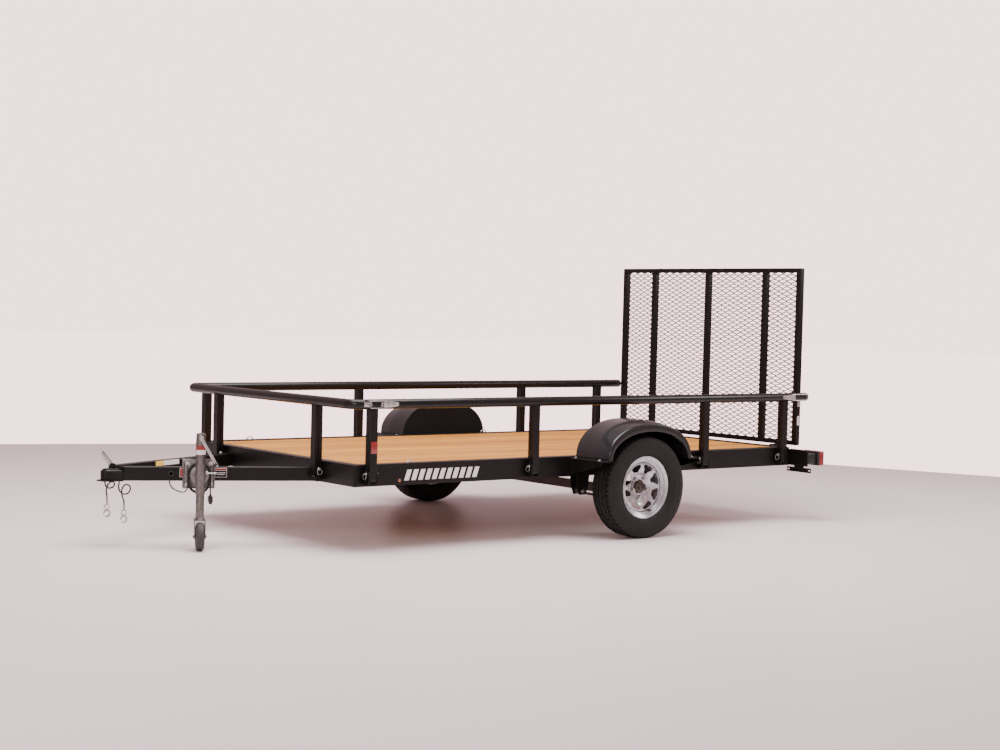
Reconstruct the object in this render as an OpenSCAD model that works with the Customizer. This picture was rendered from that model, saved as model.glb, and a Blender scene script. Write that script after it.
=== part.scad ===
// Single-axle utility trailer with fold-down side rails and a rear ramp gate.
// +X points forward to the coupler, +Y to the left, +Z up. The origin is on the ground, under the
// middle of the overall length. Most modules are drawn from the axle and moved by on_ground().

/* [Frame and deck] */
// Front face of the bed, ahead of the axle
bed_front = 1874; // [1560:2:2300]
// Rear face of the bed, behind the axle
bed_rear = 1485; // [1300:1:1900]
// Width of the bed over its side beams
bed_w = 1760; // [1450:2:2120]
// Height of the beams around the bed
frame_h = 117; // [90:1:140]
// Top of the frame above the ground
frame_top = 473; // [440:1:560]
// Steel thickness of the beams around the bed
frame_wall = 5; // [4:0.5:8]
// Width of the beams' top and bottom lips
frame_lip = 60; // [40:1:80]
// Thickness of a deck board
board_t = 38; // [25:1:45]
// Width of a deck board
board_w = 140; // [90:1:190]
// Least gap between two deck boards
board_gap = 6; // [3:1:12]
// Number of angle bearers under the deck
bearer_count = 8; // [6:1:10]
// Height of a bearer
bearer_h = 64; // [40:1:66]
// Width of a bearer's top leg
bearer_w = 50; // [40:1:60]
// Steel thickness of a bearer
bearer_wall = 5; // [4:0.5:8]

/* [Tongue and coupler] */
// Front tip of the coupler, ahead of the axle
nose_x = 2924; // [2700:1:3300]
// Angle of each tongue beam to the centreline
tongue_angle = 24.4; // [20:0.1:28]
// Height of a tongue beam
tongue_h = 75; // [60:1:100]
// Width of a tongue beam
tongue_w = 50; // [40:1:60]
// Steel thickness of a tongue beam
tongue_wall = 4; // [3:0.5:6]
// Distance from the frame's underside down to the tongue's
tongue_drop = 1; // [0:1:30]
// Diameter of the hitch ball that the coupler takes
ball_d = 50.8; // [47.6:0.1:58.7]
// Running clearance round the hitch ball
ball_gap = 0.4; // [0.2:0.1:1]
// Steel thickness of the coupler
coupler_wall = 6; // [4:0.5:8]
// Length of the coupler's latch lever
lever_l = 107; // [80:1:130]
// Lean of the open latch lever ahead of vertical
lever_lean = 41; // [20:1:60]

/* [Wheels and axle] */
// Outside diameter of a tyre
tyre_d = 596; // [540:1:640]
// Width of a tyre
tyre_w = 175; // [145:1:210]
// Thickness of a tyre's sidewall
tyre_wall = 11; // [8:1:16]
// Diameter over a rim's flanges
rim_d = 365; // [340:1:400]
// Diameter of a rim's bead seat
bead_d = 332; // [310:1:340]
// Width over a rim's flanges
rim_w = 124; // [100:1:150]
// Steel thickness of a rim
rim_wall = 3.5; // [2.5:0.5:6]
// Number of slots in a wheel's disc
slot_count = 8; // [5:1:10]
// Distance from the bed's side to a tyre's inner side
tyre_out = 93.5; // [80:0.5:120]
// Size of the square axle tube
axle_size = 50; // [40:1:60]
// Drop of the axle tube below the spindles
axle_drop = 40; // [0:1:60]
// Diameter of a hub's barrel
hub_d = 64; // [56:1:70]
// Diameter of the grease cap on a hub
cap_d = 50; // [40:1:54]
// Width of a leaf spring
spring_w = 45; // [40:1:50]
// Thickness of one spring leaf
leaf_t = 7; // [5:0.5:10]
// Distance from the axle to each spring eye
spring_half = 275; // [240:1:330]
// Height of a spring eye above the spring's seat
spring_rise = 36; // [20:1:50]
// Diameter of the bolts through the spring eyes
spring_bolt_d = 14; // [12:1:18]
// Diameter of the wheel spindles
spindle_d = 38; // [30:1:40]

/* [Fenders] */
// Room ahead of and behind a tyre at a fender's base
fender_room_x = 37; // [30:1:70]
// Room between a tyre and the fender's crown
fender_room_z = 94; // [80:1:110]
// Distance from the frame's top down to the fender's base
fender_drop = 8; // [6:1:20]
// Distance from a tyre's outer side to the fender's
fender_over = 16.5; // [5:0.5:30]
// Width of the bevel along a fender's outer edge
bevel_w = 105; // [80:1:110]
// Drop of the bevel
bevel_drop = 17; // [10:1:25]
// Depth of the skirt below the bevel
skirt_h = 45; // [30:1:55]
// Wall thickness of a fender
fender_wall = 4; // [3:0.5:6]
// Length of a fender's step ahead of and behind its base
step_l = 85; // [60:1:110]
// Depth of a step's front plate
step_h = 100; // [80:1:105]

/* [Rails] */
// Diameter of the rails' round tube
rail_d = 54; // [45:1:65]
// Steel thickness of the rails' tube and posts
rail_wall = 3; // [2:0.5:4]
// Height of the rail tubes' axes above the frame
rail_rise = 325; // [260:1:420]
// Size of a square post
post_size = 46; // [40:1:50]
// Clearance between a post and the frame's face
post_gap = 6; // [5:0.5:12]
// Height of the rails' fold pins above the frame's underside
fold_up = 39; // [29:1:44]
// Diameter of the rails' fold pins
fold_pin_d = 12; // [10:1:16]
// Running clearance round a fold pin
pin_gap = 0.1; // [0.05:0.01:0.2]
// Steel thickness of a post bracket's ears
ear_t = 5; // [4:0.5:8]
// Clearance between an ear and its post
ear_gap = 1; // [0.5:0.1:2]
// Distance from the bed's front back to a side rail's tube
rail_short = 48; // [40:1:60]
// Reach of a side rail's tube behind the bed
rail_past = 104; // [90:1:120]
// Distance between a side rail's tube and the front rail's return
rail_gap = 10; // [8:1:30]
// Bend radius of the front rail's corners
corner_r = 66; // [60:1:120]
// Distance from a tongue beam's outer face to a front post, at the bed's front
front_post_out = 44.92; // [40:0.01:200]

/* [Gate] */
// Distance from the bed's side in to the gate's side
gate_in = 23; // [15:1:60]
// Top of the gate above the ground
gate_top = 1634; // [1400:1:1700]
// Distance from the frame's top up to the gate
gate_up = 5; // [2:1:30]
// Distance of the gate's front face from the bed's rear face
gate_gap = 81; // [70:1:110]
// Size of the gate's upright members
gate_tube = 38; // [30:1:40]
// Height of the gate's top and bottom bars
gate_bar_h = 28; // [24:1:38]
// Steel thickness of the gate's members
gate_wall = 3; // [2:0.5:5]
// Width of the gate's hinge lugs
lug_w = 36; // [30:1:50]
// Distance of the gate's inner uprights from the bed's side
gate_upright_in = 345; // [250:1:480]
// Thickness of the gate's mesh panel
mesh_t = 1.5; // [1:0.5:3]
// Distance of the gate's hinge axis from the bed's rear face
hinge_out = 40; // [35:1:50]
// Distance from the frame's top down to the gate's hinge axis
hinge_drop = 28; // [23:1:38]
// Diameter of the gate's hinge pins
hinge_pin_d = 16; // [12:1:20]
// Distance of a gate hinge from the bed's side
hinge_in = 200; // [120:1:280]

/* [Lights] */
// Width of a tail light
light_w = 150; // [120:1:160]
// Height of a tail light
light_h = 92; // [80:1:100]
// Depth of a tail light behind its plate
light_t = 60; // [40:1:80]
// Distance of the lights' rear faces behind the bed
light_out = 165; // [110:1:180]
// Distance between the two plate slots
plate_pitch = 178; // [150:1:178]

/* [Jack] */
// Distance of the jack from the beam's front corner, along the beam
jack_s = 361; // [330:1:420]
// Distance of the jack's axis from the beam's outer face
jack_out = 122; // [115:1:140]
// Height of the jack's swivel axis above the tongue's underside
swivel_up = 38; // [30:1:45]
// Diameter of the jack's outer tube
jack_d = 51; // [42:0.5:56]
// Clearance between the jack's leg and its outer tube
leg_gap = 0.5; // [0.3:0.1:1]
// Steel thickness of the jack's outer tube
jack_wall = 3; // [2:0.5:3]
// Bottom of the jack's outer tube above the ground
jack_bottom = 296; // [290:1:310]
// Top of the jack's outer tube above the ground
jack_top = 622; // [600:1:660]
// Diameter of the jack's wheel
jack_wheel_d = 152; // [140:1:152]
// Width of the jack's wheel
jack_wheel_w = 45; // [38:1:50]
// Trail of the jack's wheel from the leg's axis
trail = 40; // [30:1:41]
// Length of the jack's crank arm
crank_l = 160; // [140:1:165]
// Angle of the crank arm from straight down, towards the rear
crank_angle = 30; // [0:1:60]
// Diameter of the swivel drum
drum_d = 100; // [90:1:104]

/* [Hidden] */
$fn = 48;
fit = 0.3;                                   // room between curved faces that only seat
seat_gap = 0.1;                              // room between a plate and a slanted beam
move_gap = 6;                                // room between pieces that move past each other
frame_bottom = frame_top - frame_h;
side_y = bed_w / 2;
light_rear = bed_rear + light_out;
tail_x = -light_rear;
mid_x = (nose_x + tail_x) / 2;
hub_z = tyre_d / 2;
wheel_y = side_y + tyre_out + tyre_w / 2;
axle_z = hub_z - axle_drop;
deck_top = frame_top - frame_wall;
deck_bottom = deck_top - board_t;
bed_l = bed_front + bed_rear;
inner_w = bed_w - 2 * frame_wall;
board_count = floor((inner_w + board_gap) / (board_w + board_gap));
board_pitch = (inner_w - board_w) / (board_count - 1);
bearer_pitch = (bed_l - 2 * frame_lip - bearer_w - 2 * move_gap) / (bearer_count - 1);

tongue_bottom = frame_bottom - tongue_drop;
apex_x = nose_x - 146;                       // the left beam's outer face passes through this point
apex_y = 90;
tongue_run = (apex_x - bed_front) / cos(tongue_angle);
beam_end = apex_x + 30;
ball_x = nose_x - 52;
coupler_h = 68;
lever_z = tongue_bottom + coupler_h + 8;
lever_x = ball_x - 30;

fold_z = frame_bottom + fold_up;
rail_z = frame_top + rail_rise;
rail_front = bed_front - rail_short;
rail_rear = bed_rear + rail_past;
post_y = side_y + post_gap + post_size / 2;
fender_base = frame_top - fender_drop;
fender_half = hub_z + fender_room_x;
fender_rise = tyre_d + fender_room_z - fender_base;
fender_y = wheel_y + tyre_w / 2 + fender_over;
side_posts = [bed_front - 87, fender_half + 341, -fender_half - 345, -bed_rear + 103];
front_post_y = apex_y + (apex_x - bed_front) * tan(tongue_angle) + front_post_out;
front_post_x = bed_front + post_gap + post_size / 2;
return_x = rail_front + rail_gap;
ear_reach = post_gap + post_size + 2;

gate_half = side_y - gate_in;
gate_bottom = frame_top + gate_up;
gate_upright_y = side_y - gate_upright_in;
gate_x = -(bed_rear + gate_gap + gate_tube / 2);
hinge_y = side_y - hinge_in;
hinge_z = frame_top - hinge_drop;
hinge_x = -(bed_rear + hinge_out);
spring_y = side_y - frame_lip / 2 - 5;
spring_seat = axle_z - axle_size / 2;
eye_z = spring_seat - leaf_t / 2 + spring_rise;
fender_inner = side_y + 2;
light_y = side_y + 4 + light_w / 2;
drum_out = 60;
swivel_z = tongue_bottom + swivel_up;
leg_d = jack_d - 2 * jack_wall - 2 * leg_gap;
head_z = 596;
leg_bottom = 170;
grip_out = jack_out + jack_d / 2 + 12;

// Free cords: centreline points in the finished frame, and their diameters
harness_d = 7;
harness_lead = [[1.942, 0.155, 0.3545], [1.942, 0.155, 0.342], [1.934, 0.176, 0.314],
                [1.906, 0.216, 0.297], [1.892, 0.228, 0.299], [1.882, 0.2335, 0.308],
                [1.877, 0.2355, 0.325]];
harness_tail = [[1.769, 0.2915, 0.340], [1.769, 0.2925, 0.320], [1.770, 0.294, 0.305],
                [1.770, 0.294, 0.288]];
cable_d = 8;
left_cable = [[2.190, 0.058, 0.3505], [2.190, 0.058, 0.338], [2.196, 0.066, 0.322],
              [2.192, 0.074, 0.300], [2.172, 0.082, 0.284],
              [2.148, 0.088, 0.292], [2.140, 0.092, 0.315], [2.152, 0.094, 0.334], [2.174, 0.092, 0.334],
              [2.188, 0.090, 0.312], [2.187, 0.090, 0.280], [2.178, 0.092, 0.252], [2.176, 0.092, 0.238],
              [2.176, 0.092, 0.226]];
right_cable = [[2.224, -0.042, 0.3505], [2.224, -0.042, 0.337], [2.216, -0.048, 0.318],
               [2.196, -0.054, 0.305], [2.173, -0.056, 0.308], [2.163, -0.053, 0.323],
               [2.173, -0.049, 0.338], [2.193, -0.045, 0.337], [2.209, -0.042, 0.320],
               [2.216, -0.041, 0.296], [2.213, -0.041, 0.272], [2.211, -0.041, 0.256],
               [2.211, -0.041, 0.244]];

// ---------- helpers ----------

// Moves what is drawn from the axle to the finished frame
module on_ground() {
    translate([-mid_x, 0, 0]) children();
}

// The same piece on the other side of the trailer
module mirrored() {
    mirror([0, 1, 0]) children();
}

// Channel beam along +X: back face at y = 0, lips towards -Y
module channel(l, h, lip, wall) {
    rotate([90, 0, 90]) linear_extrude(l)
        polygon([[0, 0], [0, h], [-lip, h], [-lip, h - wall], [-wall, h - wall],
                 [-wall, wall], [-lip, wall], [-lip, 0]]);
}

// Rectangular tube along +X, centred on its axis in Y, with its base at z = 0
module box_tube(l, w, h, wall) {
    difference() {
        translate([0, -w / 2, 0]) cube([l, w, h]);
        translate([-1, -w / 2 + wall, wall]) cube([l + 2, w - 2 * wall, h - 2 * wall]);
    }
}

// Cylinder along +X or +Y
module rod_x(l, d) {
    rotate([0, 90, 0]) cylinder(h = l, d = d);
}
module rod_y(l, d) {
    rotate([-90, 0, 0]) cylinder(h = l, d = d);
}

// Frame on the left tongue beam: x forward along the beam, y out of its outer face
module on_left_beam(s) {
    translate([apex_x - s * cos(tongue_angle), apex_y + s * sin(tongue_angle), 0])
        rotate([0, 0, -tongue_angle]) children();
}

// Skin over rings of points that all have the same count, capped at both ends
module skin(rings) {
    n = len(rings[0]);
    m = len(rings);
    sides = [for (i = [0 : m - 2], j = [0 : n - 1])
        [i * n + j, i * n + (j + 1) % n, (i + 1) * n + (j + 1) % n, (i + 1) * n + j]];
    start = [for (j = [n - 1 : -1 : 0]) j];
    end = [for (j = [0 : n - 1]) (m - 1) * n + j];
    polyhedron(points = [for (ring = rings, p = ring) p], faces = concat([start], sides, [end]));
}

// Catmull-Rom curve through a route, with the given number of steps to a span
function spline(route, steps) = let (last = len(route) - 1)
    concat([for (i = [0 : last - 1], k = [0 : steps - 1])
        let (t = k / steps, a = route[max(i - 1, 0)], b = route[i], c = route[i + 1],
             d = route[min(i + 2, last)])
        0.5 * (2 * b + (c - a) * t + (2 * a - 5 * b + 4 * c - d) * t * t
               + (3 * b - a - 3 * c + d) * t * t * t)], [route[last]]);

function unit(v) = v / norm(v);

// Round cord along a route in metres
module cord(route, d, steps = 2, sides = 8) {
    path = 1000 * spline(route, steps);
    last = len(path) - 1;
    skin([for (i = [0 : last])
        let (t = unit(path[min(i + 1, last)] - path[max(i - 1, 0)]),
             u = unit(cross(t, abs(t[1]) < 0.9 ? [0, 1, 0] : [1, 0, 0])), v = cross(t, u))
        [for (j = [0 : sides - 1]) path[i] + d / 2 * (u * cos(360 * j / sides) - v * sin(360 * j / sides))]]);
}

// ---------- frame and deck ----------

module side_frame() {
    difference() {
        translate([-bed_rear, side_y, frame_bottom]) channel(bed_l, frame_h, frame_lip, frame_wall);
        for (x = [-bed_rear - 1, bed_front - frame_wall])
            translate([x, side_y - frame_lip - 1, frame_bottom - 1])
                cube([frame_wall + 1, frame_lip + 1 - frame_wall, frame_h + 2]);
    }
}
module side_frame_left() color("#1c1b1b") on_ground() side_frame();
module side_frame_right() color("#1c1b1b") on_ground() mirrored() side_frame();

// End beam with its back at the bed's end: the web spans the side webs, the lips stop at the side lips
module end_beam() {
    half = side_y - frame_wall;
    difference() {
        rotate([0, 0, 90]) translate([-half, 0, frame_bottom])
            mirrored() channel(2 * half, frame_h, frame_lip, frame_wall);
        for (s = [-1, 1])
            translate([-frame_lip - frame_wall, s > 0 ? side_y - frame_lip : -side_y - 1, frame_bottom - 1])
                cube([frame_lip, frame_lip + 1, frame_h + 2]);
    }
}
module front_beam() color("#1c1b1b") on_ground() translate([bed_front, 0, 0]) end_beam();
module rear_beam() color("#1c1b1b") on_ground() translate([-bed_rear, 0, 0]) mirror([1, 0, 0]) end_beam();

module floor_bearers() color("#232121") on_ground()
    for (i = [0 : bearer_count - 1])
        translate([-bed_rear + frame_lip + move_gap + i * bearer_pitch, -inner_w / 2, deck_bottom - bearer_h]) {
            translate([0, 0, bearer_h - bearer_wall]) cube([bearer_w, inner_w, bearer_wall]);
            cube([bearer_wall, inner_w, bearer_h]);
        }

module deck_boards() color("#d6a56e") on_ground()
    for (i = [0 : board_count - 1])
        translate([-bed_rear + frame_wall, -inner_w / 2 + i * board_pitch, deck_bottom])
            cube([bed_l - 2 * frame_wall, board_w, board_t]);

// ---------- tongue and coupler ----------

// Tongue beam from the coupler back to the front beam, cut square to the trailer at both ends
module tongue_beam() {
    intersection() {
        on_left_beam(0) translate([-tongue_run - tongue_w, -tongue_w / 2, tongue_bottom])
            box_tube(tongue_run + 3 * tongue_w, tongue_w, tongue_h, tongue_wall);
        translate([bed_front, 1, 0]) cube([beam_end - bed_front, side_y, frame_top]);
    }
}
module tongue_beam_left() color("#1c1b1b") on_ground() difference() {
    tongue_beam();
    on_left_beam(214) translate([0, 1, tongue_bottom + 39]) rotate([90, 0, 0])
        cylinder(h = tongue_w / 2, d = 18);
}
module tongue_beam_right() color("#1c1b1b") on_ground() mirrored() tongue_beam();

// Pressed coupler: a rounded nose round the ball socket and a channel body back over the beams
module coupler() color("#1a1a1a") on_ground() {
    socket_r = ball_d / 2 + ball_gap;
    body_r = socket_r + coupler_wall;
    root = apex_y - (beam_end - apex_x) * tan(tongue_angle) - 4;
    difference() {
        union() {
            translate([ball_x, 0, tongue_bottom - 4]) cylinder(h = coupler_h - body_r / 2, r = body_r);
            translate([ball_x, 0, tongue_bottom + coupler_h - 4 - body_r / 2])
                cylinder(h = body_r / 2, r1 = body_r, r2 = body_r * 0.72);
            translate([ball_x, 0, tongue_bottom - 4]) cylinder(h = 4, r = nose_x - ball_x);
            translate([0, 0, tongue_bottom - 4]) linear_extrude(coupler_h - body_r / 2)
                polygon([[beam_end, -root], [beam_end + 36, -body_r - 14], [ball_x, -body_r],
                         [ball_x, body_r], [beam_end + 36, body_r + 14], [beam_end, root]]);
        }
        translate([ball_x, 0, tongue_bottom - 5]) cylinder(h = 34, r = socket_r);
        translate([ball_x, 0, tongue_bottom + 29 - 0.01]) cylinder(h = 14, r1 = socket_r, r2 = socket_r * 0.7);
    }
    for (s = [-1, 1])
        translate([lever_x - 14, s > 0 ? 6 : -12, tongue_bottom + coupler_h - body_r / 2 - 4])
            cube([28, 6, body_r / 2 + 22]);
    difference() {
        translate([lever_x, -12, lever_z]) rod_y(24, 8);
        translate([lever_x - 5, -6, lever_z - 5]) cube([10, 12, 10]);
    }
    translate([lever_x, -6.01, lever_z]) rod_y(12.02, 7.8);
}

// Latch lever on its pin between the coupler's ears, shown open
module coupler_lever() color("#a9aaa8") on_ground()
    translate([lever_x, 0, lever_z]) rotate([0, lever_lean, 0]) difference() {
        union() {
            translate([0, -4.5, 0]) rod_y(9, 18);
            translate([-9, -4.5, 0]) cube([18, 9, lever_l - 12]);
            translate([-14, -13, 24]) cube([6, 26, lever_l - 36]);
            translate([0, -4.5, lever_l - 12]) rod_y(9, 18);
        }
        translate([0, -5, 0]) rod_y(10, 8);
    }

// ---------- running gear ----------

module axle_beam() color("#4b4543") on_ground() {
    inner = wheel_y - 75;
    translate([-axle_size / 2, -inner, axle_z - axle_size / 2]) cube([axle_size, 2 * inner, axle_size]);
    for (s = [-1, 1])
        translate([0, s > 0 ? inner - 40 : -inner, hub_z]) rod_y(40, axle_size);
    for (s = [-1, 1])
        translate([0, s > 0 ? inner : -inner - 69, hub_z]) rod_y(69, spindle_d);
    for (s = [-1, 1])
        translate([-30, s > 0 ? spring_y - spring_w / 2 : -spring_y - spring_w / 2, axle_z + axle_size / 2])
            cube([60, spring_w, 8]);
}

// Springs under the axle: a main leaf from eye to eye, two shorter leaves and two U-bolts' plate
module leaf_spring() {
    n = 12;
    flat = 32;
    main = [for (i = [-n : n]) let (x = spring_half * i / n)
        [x, spring_rise * pow(max(0, abs(x) - flat) / (spring_half - flat), 2) - leaf_t]];
    difference() {
        union() {
            translate([0, spring_y + spring_w / 2, spring_seat]) rotate([90, 0, 0]) linear_extrude(spring_w)
                for (k = [0 : 2])
                    let (m = n - 3 * k, part = [for (i = [n - m : n + m]) main[i] - [0, k * leaf_t]])
                    polygon(concat(part, [for (i = [2 * m : -1 : 0]) part[i] + [0, leaf_t]]));
            for (s = [-1, 1])
                translate([s * spring_half, spring_y - spring_w / 2, eye_z]) rod_y(spring_w, 34);
        }
        for (s = [-1, 1])
            translate([s * spring_half, spring_y - spring_w / 2 - 1, eye_z]) rod_y(spring_w + 2, spring_bolt_d);
    }
    translate([-45, spring_y - spring_w / 2 - 8, spring_seat - 3 * leaf_t - 8]) cube([90, spring_w + 16, 8]);
}
module leaf_spring_left() color("#1b1a1a") on_ground() leaf_spring();
module leaf_spring_right() color("#1b1a1a") on_ground() mirrored() leaf_spring();

// Two plates on each side of a spring's end, welded under the side beam, with the eye's bolt
module spring_hangers() {
    gap = 1.5;
    for (s = [-1, 1], t = [-1, 1])
        translate([s * (spring_half - 5), spring_y + t * (spring_w / 2 + gap + 2.5) + 2.5, 0])
            rotate([90, 0, 0]) linear_extrude(5)
                polygon([[-50, frame_bottom], [50, frame_bottom], [44, frame_bottom - 60],
                         [24, eye_z - 22], [-24, eye_z - 22], [-44, frame_bottom - 60]]);
    for (s = [-1, 1])
        translate([s * spring_half, spring_y - spring_w / 2 - gap - 12, eye_z])
            rod_y(spring_w + 2 * gap + 24, spring_bolt_d - 2 * pin_gap);
}
module spring_hangers_left() color("#181717") on_ground() spring_hangers();
module spring_hangers_right() color("#181717") on_ground() mirrored() spring_hangers();

// ---------- fenders ----------

// Arch of a fender at a height share from 0 (front base) over the crown to 1 (rear base)
function arch(half, rise, power, i, n) = let (a = 180 * i / n, c = cos(a), s = sin(a))
    [half * sign(c) * pow(abs(c), 2 / power), fender_base + rise * pow(abs(s), 2 / power)];

// A section of the shell across the arch, from the inner side to the bevel and down the skirt
function fender_ring(i, n) = let (
    top = arch(fender_half, fender_rise, 2.4, i, n),
    edge = arch(fender_half - bevel_drop / 2, fender_rise - bevel_drop, 2.4, i, n),
    lip = arch(fender_half - bevel_drop / 2 - skirt_h * 0.6, fender_rise - bevel_drop - skirt_h, 2.1, i, n),
    top_in = arch(fender_half - fender_wall, fender_rise - fender_wall, 2.4, i, n),
    edge_in = arch(fender_half - bevel_drop / 2 - fender_wall, fender_rise - bevel_drop - fender_wall,
                   2.4, i, n))
    [[top[0], fender_inner, top[1]], [top[0], fender_y - bevel_w, top[1]], [edge[0], fender_y, edge[1]],
     [lip[0], fender_y, lip[1]], [lip[0], fender_y - fender_wall, lip[1]],
     [edge_in[0], fender_y - fender_wall, edge_in[1]],
     [top_in[0], fender_y - bevel_w, top_in[1]], [top_in[0], fender_inner, top_in[1]]];

module fender() {
    n = 36;
    skin([for (i = [n : -1 : 0]) fender_ring(i, n)]);
    translate([0, fender_inner + fender_wall, 0.5]) rotate([90, 0, 0]) linear_extrude(fender_wall)
        polygon([for (i = [0 : n])
            arch(fender_half - fender_wall / 2, fender_rise - fender_wall / 2 - 0.5, 2.4, i, n)]);
}
module fender_left() color("#2b2a2b") on_ground() fender();
module fender_right() color("#2b2a2b") on_ground() mirrored() fender();

// Flat step ahead of and behind each fender, with a tapered plate down the frame's side
module fender_steps() {
    reach = fender_y - side_y;
    for (s = [-1, 1]) {
        translate([s > 0 ? fender_half - 30 : -fender_half + 30 - step_l, side_y, fender_base - 4])
            cube([step_l, reach, 3.7]);
        translate([s * (fender_half + step_l - 34) - 4, side_y, 0]) rotate([90, 0, 90]) linear_extrude(4)
            polygon([[0, fender_base - 4], [reach, fender_base - 4], [reach, fender_base - 24],
                     [0, fender_base - step_h]]);
    }
}
module fender_steps_left() color("#201f1f") on_ground() fender_steps();
module fender_steps_right() color("#201f1f") on_ground() mirrored() fender_steps();

// ---------- fold brackets and rails ----------

// Two ears either side of a post, and the fold pin through them: drawn for a post at the origin,
// standing off a face at y = 0, folding about X
module fold_bracket() {
    gap = post_size / 2 + ear_gap;
    for (s = [-1, 1])
        translate([s > 0 ? gap : -gap - ear_t, 0, 0]) rotate([90, 0, 90]) linear_extrude(ear_t)
            polygon([[0, fold_z - 25], [ear_reach - 12, fold_z - 25], [ear_reach, fold_z - 13],
                     [ear_reach, fold_z + 36], [ear_reach - 10, fold_z + 48], [0, fold_z + 48]]);
    translate([-gap - ear_t - 6, post_gap + post_size / 2, fold_z]) rod_x(2 * (gap + ear_t) + 12, fold_pin_d);
}
module post_brackets() {
    for (x = side_posts) translate([x, side_y, 0]) fold_bracket();
}
module post_brackets_left() color("#1d1c1c") on_ground() post_brackets();
module post_brackets_right() color("#1d1c1c") on_ground() mirrored() post_brackets();
module post_brackets_front() color("#1d1c1c") on_ground()
    for (s = [-1, 1]) translate([bed_front, s * front_post_y, 0]) rotate([0, 0, -90]) fold_bracket();

// Square post with a rounded foot, bored for the fold pin, its centre on the origin's vertical
module post(top) {
    difference() {
        union() {
            translate([-post_size / 2, -post_size / 2, fold_z])
                cube([post_size, post_size, top - fold_z]);
            translate([-post_size / 2, 0, fold_z]) rod_x(post_size, post_size);
        }
        translate([-post_size / 2 + rail_wall, -post_size / 2 + rail_wall, fold_z - post_size])
            cube([post_size - 2 * rail_wall, post_size - 2 * rail_wall, top - fold_z + 2 * post_size]);
        translate([-post_size, 0, fold_z]) rod_x(2 * post_size, fold_pin_d + 2 * pin_gap);
    }
}

module side_rail() {
    difference() {
        translate([-rail_rear, post_y, rail_z]) rod_x(rail_front + rail_rear, rail_d);
        translate([-rail_rear - 1, post_y, rail_z]) rod_x(rail_front + rail_rear + 2, rail_d - 2 * rail_wall);
    }
    difference() {
        for (x = side_posts) translate([x, post_y, 0]) post(rail_z);
        translate([-rail_rear - 1, post_y, rail_z]) rod_x(rail_front + rail_rear + 2, rail_d - 1);
    }
}
module side_rail_left() color("#1a1919") on_ground() side_rail();
module side_rail_right() color("#1a1919") on_ground() mirrored() side_rail();

module front_rail() color("#1a1919") on_ground() {
    straight = post_y - corner_r;
    back = front_post_x - corner_r - return_x;
    difference() {
        union() {
            translate([front_post_x, -straight, rail_z]) rod_y(2 * straight, rail_d);
            for (s = [-1, 1]) {
                translate([return_x, s * post_y, rail_z]) rod_x(back, rail_d);
                translate([front_post_x - corner_r, s * straight, rail_z])
                    mirror([0, s > 0 ? 0 : 1, 0]) rotate_extrude(angle = 90)
                        translate([corner_r, 0]) circle(d = rail_d);
            }
        }
        translate([front_post_x, -straight, rail_z]) rod_y(2 * straight, rail_d - 2 * rail_wall);
        for (s = [-1, 1]) {
            translate([return_x - 1, s * post_y, rail_z]) rod_x(back + 1, rail_d - 2 * rail_wall);
            translate([front_post_x - corner_r, s * straight, rail_z])
                mirror([0, s > 0 ? 0 : 1, 0]) rotate_extrude(angle = 90)
                    translate([corner_r, 0]) circle(d = rail_d - 2 * rail_wall);
        }
    }
    difference() {
        for (s = [-1, 1])
            translate([front_post_x, s * front_post_y, 0]) rotate([0, 0, -90]) post(rail_z);
        translate([front_post_x, -straight, rail_z]) rod_y(2 * straight, rail_d - 1);
    }
}

// Over-centre latches on the outer side of a side rail: a base, a lever and its knuckle
module latches() {
    face = post_y + rail_d / 2 - 1.5;
    for (end = [[rail_front - 233, rail_front - 64, 1], [-rail_rear + 45, -rail_rear + 277, -1]])
        difference() {
            union() {
                translate([end[0], face, rail_z - 11]) cube([end[1] - end[0], 11, 22]);
                translate([end[2] > 0 ? end[1] - 44 : end[0] + 4, face, rail_z - 17]) cube([40, 15, 34]);
            }
            translate([-rail_rear, post_y, rail_z]) rod_x(rail_front + rail_rear, rail_d + 2 * fit);
        }
}
module latches_left() color("#b4b3b0") on_ground() latches();
module latches_right() color("#b4b3b0") on_ground() mirrored() latches();

// ---------- gate ----------

module gate_hinges() color("#1b1a1a") on_ground()
    for (s = [-1, 1]) {
        for (t = [-1, 1])
            translate([-bed_rear - hinge_out - 14, s * hinge_y + t * (lug_w / 2 + 6) - 4, hinge_z - 14])
                cube([hinge_out + 14, 8, 28]);
        translate([hinge_x, s * hinge_y - lug_w / 2 - 16, hinge_z]) rod_y(lug_w + 32, hinge_pin_d);
    }

// Channel member of the gate, open to the rear: the size in Y and Z from its lower right corner
module gate_member(y, z, w, h) {
    difference() {
        translate([gate_x - gate_tube / 2, y, z]) cube([gate_tube, w, h]);
        translate([gate_x - gate_tube / 2 - 1, y + gate_wall, z + gate_wall])
            cube([gate_tube + 1 - gate_wall, w - 2 * gate_wall, h - 2 * gate_wall]);
    }
}
module gate_frame() color("#1c1b1b") on_ground() {
    for (y = [-gate_half, -gate_upright_y - gate_tube / 2, -gate_tube / 2,
              gate_upright_y - gate_tube / 2, gate_half - gate_tube])
        gate_member(y, gate_bottom, gate_tube, gate_top - gate_bottom);
    for (z = [gate_bottom, gate_top - gate_bar_h])
        gate_member(-gate_half, z, 2 * gate_half, gate_bar_h);
    for (s = [-1, 1]) difference() {
        union() {
            translate([gate_x, s * hinge_y - lug_w / 2, hinge_z + 4])
                cube([hinge_x - gate_x + 14, lug_w, gate_bottom + gate_wall - hinge_z - 4]);
            translate([hinge_x, s * hinge_y - lug_w / 2, hinge_z]) rod_y(lug_w, 28);
        }
        translate([hinge_x, s * hinge_y - lug_w, hinge_z]) rod_y(2 * lug_w, hinge_pin_d + 2 * pin_gap);
    }
}

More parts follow.
